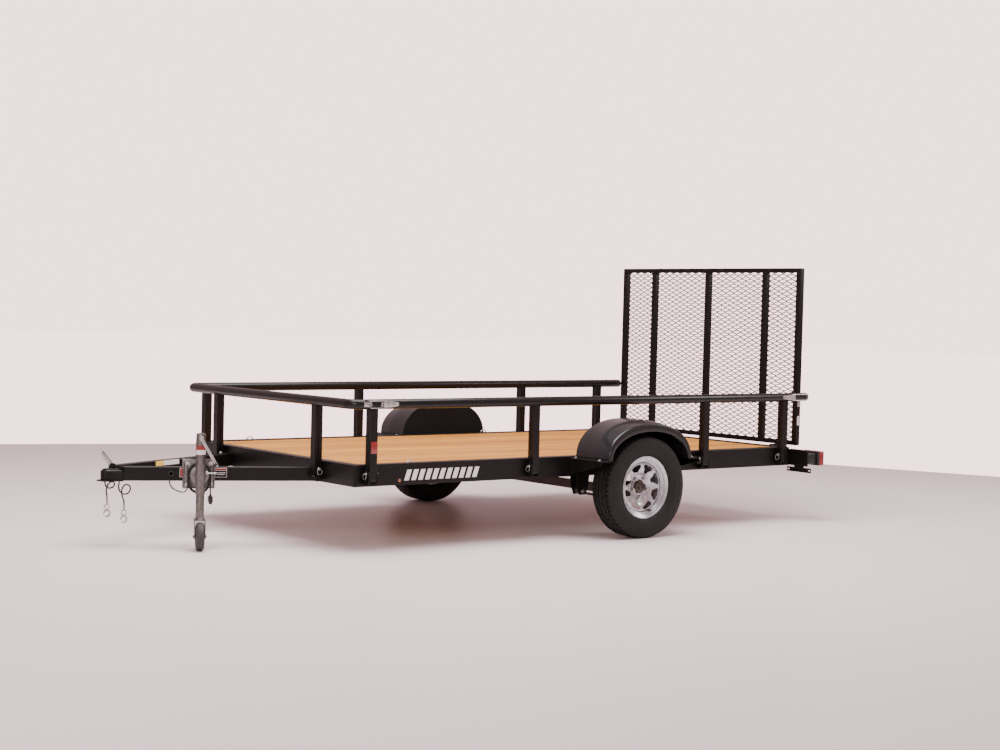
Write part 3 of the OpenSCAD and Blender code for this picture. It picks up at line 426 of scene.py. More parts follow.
def coil_spot(turn_angle, radius, out):
    """A point of the coil: an upright oval of two half circles, seen along the drum's axis."""
    a = math.radians(turn_angle)
    centre = coil_top if math.sin(a) > 0 else coil_low
    return jack_place @ Vector((radius * math.cos(a), out, centre + radius * math.sin(a)))


route = smooth_route(lead, 3)[:-1]
for turn, (radius, out) in enumerate(strands):
    for k in range(1, 13):
        route.append(coil_spot(180 * k / 12, radius, out))
    if turn < 2:
        next_r, next_out = strands[turn + 1]
        for k in range(12):
            t = k / 11
            early, late = min(1, t / 0.4), max(0, (t - 0.3) / 0.7)
            route.append(coil_spot(180.01 + 180 * t, radius + (next_r - radius) * early,
                                   out + (next_out - out) * late))
route += smooth_route(tail, 3)
harness = round_cord("wiring_harness", route, harness_d, cover_finish)
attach(harness, "chassis")
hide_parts("harness_cable", "harness_coil", "harness_end")


def block(size, rounding=0.002, segments=2, centre=(0, 0, 0)):
    """A box with rounded edges."""
    bm = bmesh.new()
    bmesh.ops.create_cube(bm, size=1)
    bmesh.ops.scale(bm, vec=size, verts=bm.verts)
    if rounding:
        soften(bm, bm.edges, rounding, segments, True)
    bmesh.ops.translate(bm, vec=centre, verts=bm.verts)
    return bm


plug_lo, plug_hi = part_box("harness_plug")
plug_place = moved((plug_lo.x + plug_hi.x) / 2, (plug_lo.y + plug_hi.y) / 2, plug_lo.z)
bm = bmesh.new()
put_in(bm, block((0.016, 0.032, 0.034), 0.003, 3, (0, 0, 0.027)), plug_place)
for k in range(4):
    cored(bm, [(0.0032, 0), (0.0034, 0.001), (0.0034, 0.012)], 16, plug_place @ moved(0, -0.012 + 0.008 * k,
            0))
cored(bm, [(0.0085, 0), (0.0078, 0.004), (0.0066, 0.005), (0.0062, 0.008), (0.0052, 0.009), (0.0048, 0.013),
           (0.0036, 0.013)], 24, plug_place @ moved(0, 0, 0.043))
plug = finished("harness_plug_body", bm, cover_finish, "chassis", ["harness_plug"])

# ---- Side beams, end beams and bearers ----
# Folded steel channel welded into a rectangle, with angle bearers across it under the boards.
# The whole frame is blasted and powder coated in warm semi-gloss black, like the other steelwork.
# Grime and edge highlight: dust on faces turned up, a lighter edge mask that is partly rubbed paint and
# partly a painted edge highlight, and fine peel
grime_and_edge_highlight, grime_highlight_in, grime_highlight_out = new_group("grime_and_edge_highlight", [("Dust", 0.1), ("Edge", 0.35), ("Edge Radius", 0.004)],
                                       [("Dust", "Float"), ("Edge", "Float"), ("Peel", "Float")])
here = add_node(grime_and_edge_highlight, "TexCoord").outputs["Object"]
facing = add_node(grime_and_edge_highlight, "NewGeometry")
# Edge mask: rounded edges broken up by noise, for rubbed paint and also for small painted highlights along
# the edges
rounded = add_node(grime_and_edge_highlight, "Bevel", {"Radius": grime_highlight_in.outputs[2]}, samples=4)
bent = add_node(grime_and_edge_highlight, "VectorMath", {0: rounded.outputs[0], 1: facing.outputs["Normal"]},
                operation="DOT_PRODUCT")
edge = add_node(grime_and_edge_highlight, "MapRange", {"Value": bent.outputs["Value"], "From Min": 0.995, "From Max": 0.9})
edge_wear_highlight_noise = add_node(grime_and_edge_highlight, "TexNoise", {"Vector": here, "Scale": 34.0, "Detail": 6.0, "Roughness": 0.7})
edge_wear_highlight_breakup = add_node(grime_and_edge_highlight, "MapRange", {"Value": edge_wear_highlight_noise.outputs["Fac"], "From Min": 0.45, "From Max": 0.68})
worn_and_highlit_edge = math_node(grime_and_edge_highlight, "MULTIPLY", edge.outputs[0], edge_wear_highlight_breakup.outputs[0])
edge_wear_highlight_share = math_node(grime_and_edge_highlight, "MULTIPLY", worn_and_highlit_edge, grime_highlight_in.outputs[1])
skyward = add_node(grime_and_edge_highlight, "SeparateXYZ", {"Vector": facing.outputs["Normal"]})
settled = add_node(grime_and_edge_highlight, "MapRange", {"Value": skyward.outputs["Z"], "From Min": -0.2, "From Max": 1.0,
                                       "To Min": 0.35, "To Max": 1.0})
dust_patches = add_node(grime_and_edge_highlight, "TexNoise", {"Vector": here, "Scale": 7.0, "Detail": 8.0, "Roughness": 0.75})
dusted = add_node(grime_and_edge_highlight, "MapRange", {"Value": dust_patches.outputs["Fac"], "From Min": 0.35,
                                      "From Max": 0.75})
dust_mask = math_node(grime_and_edge_highlight, "MULTIPLY", dusted.outputs[0], settled.outputs[0])
dust_share = math_node(grime_and_edge_highlight, "MULTIPLY", dust_mask, grime_highlight_in.outputs[0])
peel = add_node(grime_and_edge_highlight, "TexNoise", {"Vector": here, "Scale": 420.0, "Detail": 1.0})
for sink, source in enumerate((dust_share, edge_wear_highlight_share, peel.outputs["Fac"])):
    grime_and_edge_highlight.links.new(source, grime_highlight_out.inputs[sink])


def painted(name, paint, worn_and_highlight_tone, dust_tone, dust=0.16, edge=0.35, shine=(0.26, 0.42), peel=0.12,
            **constants):
    """Paint or powder coat over steel: colour drift, dust on top faces, lighter edges that are partly rubbed
    paint and partly painted highlight, fine orange peel.
    """
    made, tree, shader = new_finish(name, **constants)
    spots = use_group(tree, cloud, {"Patch Scale": 3.0, "Speckle Scale": 190.0})
    marks = use_group(tree, grime_and_edge_highlight, {"Dust": dust, "Edge": edge})
    drift = mix_tones(tree, spots.outputs["Patches"], *(tuple(k * c for c in paint) for k in (0.75, 1.3)))
    dusty = mix_tones(tree, marks.outputs["Dust"], drift, dust_tone)
    # Lighter edge tone: rubbed paint and a painted edge highlight together
    rubbed_and_highlit = mix_tones(tree, marks.outputs["Edge"], dusty, worn_and_highlight_tone)
    gloss = add_node(tree, "MapRange", {"Value": spots.outputs["Speckle"], "To Min": shine[0],
                                        "To Max": shine[1]})
    dull = math_node(tree, "ADD", marks.outputs["Dust"], gloss.outputs[0])
    link_finish(tree, shader, rubbed_and_highlit, dull, marks.outputs["Peel"], peel, 0.0004)
    return made


black_tones = (0.0042, 0.0034, 0.0034), (0.03, 0.027, 0.026), (0.16, 0.13, 0.12)
coat_black = painted("powder_coat_black", *black_tones, dust=0.035, edge=0.22, specular_ior_level=0.2)


def dress(node, finish, rounding=0.0015, segments=2):
    """Gives a CAD node its finish, and rounds its sharp edges with live modifiers."""
    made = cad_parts[node]
    made.data.materials.clear()
    made.data.materials.append(finish)
    if rounding:
        weld = made.modifiers.new("weld", "WELD")
        weld.merge_threshold = 0.00002
        soft = made.modifiers.new("rounding", "BEVEL")
        soft.width = rounding
        soft.segments = segments
        soft.limit_method = "ANGLE"
        soft.angle_limit = math.radians(40)
        soft.harden_normals = False
    return made


for node in ("side_frame_left", "side_frame_right", "front_beam", "rear_beam", "floor_bearers"):
    dress(node, coat_black, 0.0025 if "floor" not in node else 0.0015)

# ---- Deck boards ----
# Twelve planed pine boards, 38 mm thick, laid lengthways and screwed down through the bearers.
# Each has its own grain, streaks and knots; the screws are countersunk in pairs.
grain, grain_in, grain_out = new_group("pine_grain", [("Board Width", 0.1464), ("Grain", 1.0)],
                                       [("Color", "Color"), ("Roughness", "Float"), ("Height", "Float")])
here = add_node(grain, "TexCoord").outputs["Object"]
split = add_node(grain, "SeparateXYZ", {"Vector": here})
first_joint = 0.8781
across = math_node(grain, "ADD", split.outputs["Y"], first_joint)
board = math_node(grain, "FLOOR", math_node(grain, "DIVIDE", across, grain_in.outputs[0]))
chance = add_node(grain, "TexWhiteNoise", {"W": board}, noise_dimensions="1D")
shift = add_node(grain, "VectorMath", {0: chance.outputs["Color"], 1: (40, 7, 5)}, operation="MULTIPLY")
local = add_node(grain, "VectorMath", {0: here, 1: shift.outputs[0]}, operation="ADD")


def stretched(*scale):
    """The board's own coordinates, stretched along its grain."""
    return add_node(grain, "Mapping", {"Vector": local.outputs[0], "Scale": scale}).outputs[0]


waver = add_node(grain, "TexNoise", {"Vector": stretched(0.9, 16, 16), "Scale": 1.4, "Detail": 4.0,
                                     "Distortion": 0.6})
knots = add_node(grain, "TexVoronoi", {"Vector": stretched(1.25, 6.2, 0.01), "Scale": 1.0, "Randomness": 1.0})
knot = add_node(grain, "MapRange", {"Value": knots.outputs["Distance"], "From Min": 0.03, "From Max": 0.105,
                                    "To Min": 1.0, "To Max": 0.0})
swirl = add_node(grain, "MapRange", {"Value": knots.outputs["Distance"], "From Min": 0.0, "From Max": 0.42,
                                     "To Min": 0.55, "To Max": 0.0})
bands_at = math_node(grain, "ADD", waver.outputs["Fac"], swirl.outputs[0])
rings = math_node(grain, "SINE", math_node(grain, "MULTIPLY", bands_at, 46.0))
ring_share = add_node(grain, "MapRange", {"Value": rings, "From Min": -1.0, "From Max": 1.0})
fibre = add_node(grain, "TexNoise", {"Vector": stretched(5, 190, 190), "Scale": 1.0, "Detail": 5.0})
streak = add_node(grain, "TexNoise", {"Vector": stretched(0.7, 9, 9), "Scale": 1.0, "Detail": 3.0})
pale = add_node(grain, "ValToRGB", {"Fac": streak.outputs["Fac"]})
pale.color_ramp.elements[0].position, pale.color_ramp.elements[0].color = 0.3, (0.37, 0.15, 0.022, 1)
pale.color_ramp.elements[1].position, pale.color_ramp.elements[1].color = 0.72, (0.6, 0.29, 0.058, 1)
middle = pale.color_ramp.elements.new(0.5)
middle.color = (0.48, 0.213, 0.037, 1)
ring_mix = math_node(grain, "MULTIPLY", ring_share.outputs[0], 0.42)
ringed = mix_tones(grain, ring_mix, pale.outputs["Color"], (0.34, 0.115, 0.018))
fibre_mix = add_node(grain, "MapRange", {"Value": fibre.outputs["Fac"], "From Min": 0.35, "From Max": 0.7,
                                         "To Min": 0.0, "To Max": 0.35})
fibred = mix_tones(grain, fibre_mix.outputs[0], ringed, (0.3, 0.105, 0.02))
board_tone = add_node(grain, "MapRange", {"Value": chance.outputs["Value"], "To Min": 0.84, "To Max": 1.1})
toned = add_node(grain, "VectorMath", {0: fibred, "Scale": board_tone.outputs[0]}, operation="SCALE")
knotted = mix_tones(grain, knot.outputs[0], toned.outputs[0], (0.13, 0.055, 0.025))
fibre_dull = add_node(grain, "MapRange", {"Value": fibre.outputs["Fac"], "To Min": 0.48, "To Max": 0.72})
relief_sum = math_node(grain, "MULTIPLY", fibre.outputs["Fac"], grain_in.outputs[1])
for sink, source in enumerate((knotted, fibre_dull.outputs[0], relief_sum)):
    grain.links.new(source, grain_out.inputs[sink])
pine, tree, shader = new_finish("planed_pine", specular_ior_level=0.22)
figure = use_group(tree, grain)
link_finish(tree, shader, *figure.outputs, strength=0.35, distance=0.0012)
dress("deck_boards", pine, 0.004, 3)

deck_lo, deck_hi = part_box("deck_boards")
bearer_lo, bearer_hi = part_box("floor_bearers")
bearer_top = 0.05
screw_head = 0.0048
board_pitch = (deck_hi.y - deck_lo.y - 0.14) / 11
bearer_pitch = (bearer_hi.x - bearer_lo.x - bearer_top) / 7
screws = bmesh.new()
for i in range(8):
    for j in range(12):
        for side in (0.03, 0.11):
            lathe(screws, [(0.0001, 0.0001), (0.0012, -0.0006), (0.0034, 0.0002), (screw_head, 0.0006),
                           (screw_head, -0.001), (0.0001, -0.001)], 10,
                           moved(bearer_lo.x + bearer_top / 2 + i * bearer_pitch,
                                 deck_lo.y + j * board_pitch + side, deck_hi.z))
finished("deck_screws", screws, zinc, "chassis")

# ---- Tongue beams ----
# Two rectangular tubes run from under the bed's front beam to the coupler and are welded at both
# ends. Blank labels are stuck to the outer side of the left beam and the inner side of the right.
for node in ("tongue_beam_left", "tongue_beam_right"):
    dress(node, coat_black, 0.004, 3)


def bead(bm, ends, radius=0.004, ripples=None):
    """A rippled weld bead along a straight joint."""
    a, b = Vector(ends[0]), Vector(ends[1])
    count = ripples or max(6, int((b - a).length / 0.006))
    part = bmesh.new()
    bmesh.ops.create_circle(part, cap_ends=True, segments=8, radius=radius * 0.85)
    cap = part.faces[:]
    for k in range(count):
        grown = bmesh.ops.extrude_face_region(part, geom=cap)["geom"]
        fresh = verts_of(grown)
        bmesh.ops.translate(part, vec=(0, 0, (b - a).length / count), verts=fresh)
        middle = sum((v.co for v in fresh), Vector()) / len(fresh)
        swell = (1.0 if k % 2 else 0.82) / (0.82 if k % 2 else 1.0)
        bmesh.ops.scale(part, vec=(swell, swell, 1), space=Matrix.Translation(-middle), verts=fresh)
        if k:
            bmesh.ops.delete(part, geom=cap, context="FACES_ONLY")
        cap = faces_of(grown)
    put_in(bm, part, Matrix.Translation(a) @ (b - a).to_track_quat("Z", "Y").to_matrix().to_4x4())


tape_red, tree, shader = new_finish("reflective_tape", roughness=0.25, coat_weight=0.6)
cells = add_node(tree, "TexVoronoi", {"Vector": add_node(tree, "TexCoord").outputs["Object"], "Scale": 320.0},
                 distance="MANHATTAN")
link_finish(tree, shader, mix_tones(tree, cells.outputs["Distance"], (0.3, 0.016, 0.01),
                                    (0.17, 0.007, 0.006)))
paper, label_yellow = (moulded(name, tones, (30.0, 300.0), roughness=0.38, coat_weight=0.3) for name,
                       tones in (("blank_label", ((0.62, 0.6, 0.57), (0.8, 0.79, 0.76))),
                                 ("blank_label_yellow", ((0.78, 0.5, 0.05), (0.86, 0.6, 0.1)))))

slope = math.radians(24.4)


def beam_place(along, out, z, side=1):
    """A place on a tongue beam: x forward along it from its front corner, y out of its outer face."""
    spin_z = Matrix.Rotation(-slope, 4, "Z")
    place = moved(2.141, 0.09, 0) @ spin_z @ moved(-along, out, z)
    return Matrix.Diagonal((1, side, 1, 1)) @ place


for name, along, size, finish, slot in (
        ("beam_label_border", (0.478, 0.4), (0.064, 0.0004, 0.05), paper, "zinc"),
        ("beam_label_body", (0.478, 0.3935), (0.061, 0.0008, 0.034), coat_black, "frame_black"),
        ("beam_label_red", (0.478, 0.4175), (0.061, 0.0008, 0.011), tape_red, "light_red"),
        ("beam_label_line", (0.478, 0.399), (0.05, 0.001, 0.0022), paper, "zinc"),
        ("beam_label_line_low", (0.478, 0.39), (0.044, 0.001, 0.0022), paper, "zinc"),
        ("small_label_border", (0.273, 0.4), (0.028, 0.0004, 0.05), paper, "zinc"),
        ("small_label_body", (0.273, 0.4), (0.025, 0.0008, 0.047), tape_red, "light_red")):
    bm = bmesh.new()
    put_in(bm, block(size, 0.0001, 1), beam_place(along[0], size[1] / 2, along[1]))
    finished(name, bm, finish, "chassis")
for name, along, length, finish in (("far_beam_label", 0.315, 0.07, label_yellow), ("far_beam_label_white",
        0.4175, 0.135, paper)):
    bm = bmesh.new()
    put_in(bm, block((length, 0.0006, 0.027), 0.0001, 1), beam_place(along, -0.0503, 0.4155, -1))
    finished(name, bm, finish, "chassis")
welds = bmesh.new()
for s in (1, -1):
    for z in (0.357, 0.4295):
        bead(welds, ((1.24, s * 0.474, z), (1.24, s * 0.528, z)))
    bead(welds, ((1.24, s * 0.528, 0.36), (1.24, s * 0.528, 0.428)))
    bead(welds, ((1.24, s * 0.474, 0.36), (1.24, s * 0.474, 0.428)))
    bead(welds, ((2.171, s * 0.074, 0.36), (2.171, s * 0.074, 0.4)))
finished("tongue_welds", welds, coat_black, "chassis")
bm = bmesh.new()
put_in(bm, torus(0.0125, 0.0035, 28, 8), beam_place(0.214, 0.001, 0.394) @ turned(90, "X"))
finished("tongue_grommet", bm, cover_finish, "chassis")

# ---- Coupler ----
# A pressed steel ball coupler, welded between the beams and painted black: a rounded nose over
# the ball, a flange round its lower edge, and two ears with a pin for the latch lever.
ball_x, pin_x, latch_pin_z = 2.235, 2.205, 0.431


def outline_block(points, low, high, rounding, segments=3):
    """A plan outline raised from low to high, with its upper edges rounded."""
    bm = thick([(x, y, low) for x, y in points], (0, 0, high - low))
    bmesh.ops.recalc_face_normals(bm, faces=bm.faces)
    soften(bm, [e for e in bm.edges if all(abs(v.co.z - high) < 1e-6 for v in e.verts)], rounding, segments,
           True)
    return bm


def nose_outline(nose_r, waist, root, back):
    arc = [(ball_x + nose_r * math.cos(math.radians(a)),
            nose_r * math.sin(math.radians(a))) for a in range(-90, 91, 10)]
    left = [(ball_x - 0.026, waist), (back, root)]
    return arc + left + [(x, -y) for x, y in reversed(left)]


bm = bmesh.new()
put_in(bm, outline_block(nose_outline(0.052, 0.056, 0.07, 2.172), 0.351, 0.3555, 0.0015, 2))
put_in(bm, outline_block(nose_outline(0.0325, 0.046, 0.066, 2.172), 0.352, 0.412, 0.014, 5))
put_in(bm, outline_block(nose_outline(0.0215, 0.026, 0.03, 2.176), 0.405, 0.417, 0.005, 3))
for s in (1, -1):
    put_in(bm, block((0.03, 0.005, 0.042), 0.0015, 2, (pin_x, s * 0.0095, 0.423)))
pin = moved(pin_x, 0, latch_pin_z) @ turned(90, "X")
cored(bm, [(0.006, -0.0165), (0.0066, -0.0125), (0.004, -0.0125), (0.004, 0.0125), (0.0066, 0.0125),
           (0.006, 0.0165)], 20, pin)


def bolt_head(bm, place, across=0.019, height=0.008, stub=0.0, washer=0.0):
    """A hexagon head or nut on a washer, along Z, with the end of its thread above it."""
    part = bmesh.new()
    bmesh.ops.create_cone(part, cap_ends=True, segments=6, radius1=across / math.sqrt(3),
                          radius2=across / math.sqrt(3), depth=height,
                          matrix=moved(0, 0, washer + height / 2))
    rim = [e for e in part.edges if abs(e.verts[0].co.z - e.verts[1].co.z) < 1e-6]
    soften(part, rim, across * 0.07, 1)
    put_in(bm, part, place)
    if washer:
        rod(bm, across * 0.85, 0, washer, 24, place)
    if stub:
        r = across * 0.27
        rows = [(0.0001, height * 0.9), (r, height * 0.9)]
        turns = max(2, int(stub / 0.0015))
        for k in range(turns):
            z = washer + height + stub * k / turns
            rows += [(r, z), (r * 0.86, z + stub / turns * 0.5)]
        rows += [(r * 0.8, washer + height + stub), (0.0001, washer + height + stub)]
        lathe(bm, rows, 16, place)


finished("coupler_shell", bm, coat_black, "chassis", ["coupler"])
bm = bmesh.new()
lathe(bm, [(0.0261, 0), (0.03, 0), (0.03, 0.003), (0.0261, 0.003)], 40, moved(ball_x, 0, 0.351))
finished("coupler_socket_lip", bm, coat_black, "chassis")

# ---- Coupler latch lever ----
# A folded zinc-plated lever on a pin between the ears: two triangular cheeks and a finger plate.
# It stands open and drops back over the coupler when it is latched.
bm = bmesh.new()
lever_place = moved(pin_x, 0, latch_pin_z) @ turned(41, "Y")
cheek = [(-0.008, -0.008), (0.008, -0.008), (0.011, 0.004), (0.01, 0.03), (0.002, 0.086), (-0.006, 0.094),
         (-0.013, 0.09), (-0.013, 0.02)]
for s in (1, -1):
    part = thick([(x, 0, z) for x, z in cheek], (0, 0.0022, 0))
    soften(part, part.edges, 0.0008)
    put_in(bm, part, lever_place @ moved(0, 0.0042 if s > 0 else -0.0064, 0))
put_in(bm, block((0.0026, 0.0128, 0.072), 0.001, 2, (-0.0125, 0, 0.054)), lever_place)
put_in(bm, block((0.003, 0.026, 0.03), 0.0013, 3, (-0.0135, 0, 0.088)), lever_place)
rod(bm, 0.0046, -0.0075, 0.0075, 16, lever_place @ moved(0.002, 0, 0.03) @ turned(90, "X"))
finished("coupler_latch_lever", bm, zinc, "coupler_latch", ["coupler_lever"])

# ---- Axle, springs and hangers ----
# A square drop axle in bare, lightly rusted steel hangs on three-leaf springs by U-bolts. The spring
# eyes turn on plated bolts between black hanger plates welded under the frame.
axle_steel = painted("axle_steel", (0.075, 0.062, 0.055), (0.16, 0.13, 0.11), (0.2, 0.15, 0.12), dust=0.35,
                     shine=(0.42, 0.62), peel=0.2, metallic=0.35)
dress("axle_beam", axle_steel, 0.003)
spring_black = painted("spring_black", (0.022, 0.02, 0.019), (0.14, 0.12, 0.1), (0.24, 0.2, 0.17), dust=0.3,
                       shine=(0.38, 0.56))
spring_y, eye_out, eye_z, eye_face, arch_z = 0.845, 0.275, 0.2655, 0.0335, 0.288
axle_x = sum(v.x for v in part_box("tyre_left")) / 2
for side in ("left", "right"):
    dress("leaf_spring_" + side, spring_black, 0.0008, 1)
    dress("spring_hangers_" + side, coat_black, 0.0012, 1)
    sign = 1 if side == "left" else -1
    bolts = bmesh.new()
    for s in (1, -1):
        eye = (axle_x + s * eye_out, sign * spring_y, eye_z)
        bolt_head(bolts, moved(eye[0], eye[1] + eye_face, eye[2]) @ turned(-90, "X"), 0.021, 0.009, 0.0)
        bolt_head(bolts, moved(eye[0], eye[1] - eye_face, eye[2]) @ turned(90, "X"), 0.021, 0.01, 0.005)
    for s in (1, -1):
        for t in (1, -1):
            x, y = axle_x + s * 0.033, sign * spring_y + t * 0.028
            rod(bolts, 0.005, 0.194, arch_z, 14, moved(x, y, 0))
            bolt_head(bolts, moved(x, y, 0.204) @ turned(180, "X"), 0.016, 0.01, 0.003)
        arch = torus(0.028, 0.005, 16, 8, math.pi)
        put_in(bolts, arch, moved(axle_x + s * 0.033, sign * spring_y, arch_z) @ turned(90, "Z") @ turned(90,
                "X"))
    finished("spring_bolts_" + side, bolts, zinc, "chassis")

# ---- Tyres ----
# Radial trailer tyres, 175 mm wide on 13 inch rims: four grooves round the tread, blocks cut
# across it, plain ribs on the sidewalls and no lettering.
rubber = moulded("tyre_rubber", ((0.004, 0.0036, 0.0034), (0.0095, 0.0085, 0.008)), (9.0, 420.0),
                 ("Patches", 0.52, 0.82), ("Speckle", 0.25, 0.0005), {"Dust": 0.05}, [(0.2, 0.17, 0.15)],
                 specular_ior_level=0.25)

half_profile = [(0.1663, 0.041), (0.1663, 0.0522), (0.1745, 0.056), (0.1835, 0.059), (0.187, 0.07),
                (0.193, 0.0795), (0.199, 0.083), (0.201, 0.0845), (0.203, 0.0832), (0.211, 0.0862),
                (0.225, 0.0875), (0.24, 0.0874), (0.244, 0.0874), (0.246, 0.0862), (0.256, 0.0858),
                (0.259, 0.0866), (0.261, 0.0852), (0.27, 0.0836), (0.28, 0.0815), (0.287, 0.0785),
                (0.2925, 0.074), (0.2955, 0.069), (0.2966, 0.056)]
tread = [(0.297, 0.048), (0.2895, 0.0465), (0.2895, 0.0405), (0.2974, 0.039), (0.2978, 0.0215), (0.29, 0.02),
         (0.29, 0.013), (0.298, 0.0115)]
inner_profile = [(0.285, 0.0), (0.285, 0.054), (0.264, 0.073), (0.215, 0.0765), (0.1955, 0.07),
                 (0.1835, 0.048)]
outer_half = half_profile + tread
profile = outer_half + [(r, -w) for r, w in reversed(outer_half)] + [(r, -w) for r,
        w in reversed(inner_profile)] + inner_profile[1:]
block_count = 60
for side in ("left", "right"):
    sign = 1 if side == "left" else -1
    tyre_lo, tyre_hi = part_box("tyre_" + side)
    wheel_centre = (tyre_lo + tyre_hi) / 2
    bm = turning(profile, 2 * block_count)
    settle(bm)
    shoulder, middle = [], []
    for face in bm.faces:
        spot = face.calc_center_median()
        r = math.hypot(spot.x, spot.y)
        index = int((math.atan2(spot.y, spot.x) % math.tau) / math.tau * 2 * block_count)
        if r > 0.2945 and 0.05 < abs(spot.z) < 0.074 and index % 2 == 0:
            shoulder.append(face)
        elif r > 0.2955 and 0.022 < abs(spot.z) < 0.038 and (index + (2 if spot.z > 0 else 0)) % 4 == 0:
            middle.append(face)
        elif r > 0.2955 and abs(spot.z) < 0.011 and index % 6 == 0:
            middle.append(face)
    bmesh.ops.inset_individual(bm, faces=shoulder, thickness=0.0022, depth=-0.0055, use_even_offset=True)
    bmesh.ops.inset_individual(bm, faces=middle, thickness=0.0036, depth=-0.0045, use_even_offset=True)
    whole = bmesh.new()
    put_in(whole, bm, Matrix.Translation(wheel_centre) @ turned(-90 * sign, "X"))
    finished("radial_tyre_" + side, whole, rubber, side + "_wheel", ["tyre_" + side], 28)

# ---- Rims ----
# Pressed steel wheels in silver enamel: a rolled barrel with stepped flanges, and a dished disc
# with eight windows, five nuts on a 114.3 mm circle and a black rubber valve.
silver, tree, shader = new_finish("silver_enamel", metallic=0.75, coat_weight=0.3, coat_roughness=0.1)
flecks = use_group(tree, spangle, {"Scale": 420.0, "Light": (0.46, 0.47, 0.5, 1), "Dark": (0.41, 0.42, 0.45,
        1)})
marks = use_group(tree, grime_and_edge_highlight, {"Dust": 0.07, "Edge": 0.0})
dull = add_node(tree, "MapRange", {"Value": flecks.outputs["Roughness"], "To Min": 0.2, "To Max": 0.4})
link_finish(tree, shader, mix_tones(tree, marks.outputs["Dust"], flecks.outputs["Color"], (0.42, 0.38, 0.35)),
            dull.outputs[0], marks.outputs["Peel"], 0.06, 0.0003)
hub_metal = metal_finish("cast_hub", 70.0, (0.11, 0.088, 0.074, 1), (0.03, 0.025, 0.022, 1), 0.6)

flange = [(0.1662, 0.053), (0.174, 0.0575), (0.18, 0.059), (0.1825, 0.0606), (0.1825, 0.0617), (0.181, 0.062),
          (0.1785, 0.061), (0.1752, 0.059), (0.1722, 0.056), (0.1715, 0.052), (0.17, 0.0505), (0.165, 0.05),
          (0.1632, 0.0488), (0.1622, 0.043), (0.1605, 0.0415), (0.156, 0.0412), (0.1545, 0.04),
          (0.1538, 0.036), (0.152, 0.0342), (0.1478, 0.0335)]
barrel = [(0.1466, 0.014), (0.1466, -0.024), (0.1626, -0.036), (0.1626, -0.056), (0.18, -0.062),
          (0.1825, -0.062), (0.1825, -0.059), (0.166, -0.053), (0.166, -0.034), (0.15, -0.022), (0.15, 0.012),
          (0.166, 0.022)]
disc_line = [(0.04, 0.0045), (0.0425, 0.0075), (0.048, 0.0085), (0.069, 0.0085), (0.076, 0.012),
             (0.08, 0.0185), (0.084, 0.0205), (0.089, 0.02), (0.095, 0.0225), (0.101, 0.0255),
             (0.108, 0.0285), (0.112, 0.0297), (0.116, 0.0303), (0.12, 0.0311), (0.124, 0.0316),
             (0.1285, 0.0322), (0.132, 0.0325), (0.138, 0.0324), (0.144, 0.03), (0.1462, 0.024),
             (0.1465, 0.006)]
window_low, window_high, window_count, disc_steps = 0.086, 0.131, 8, 96
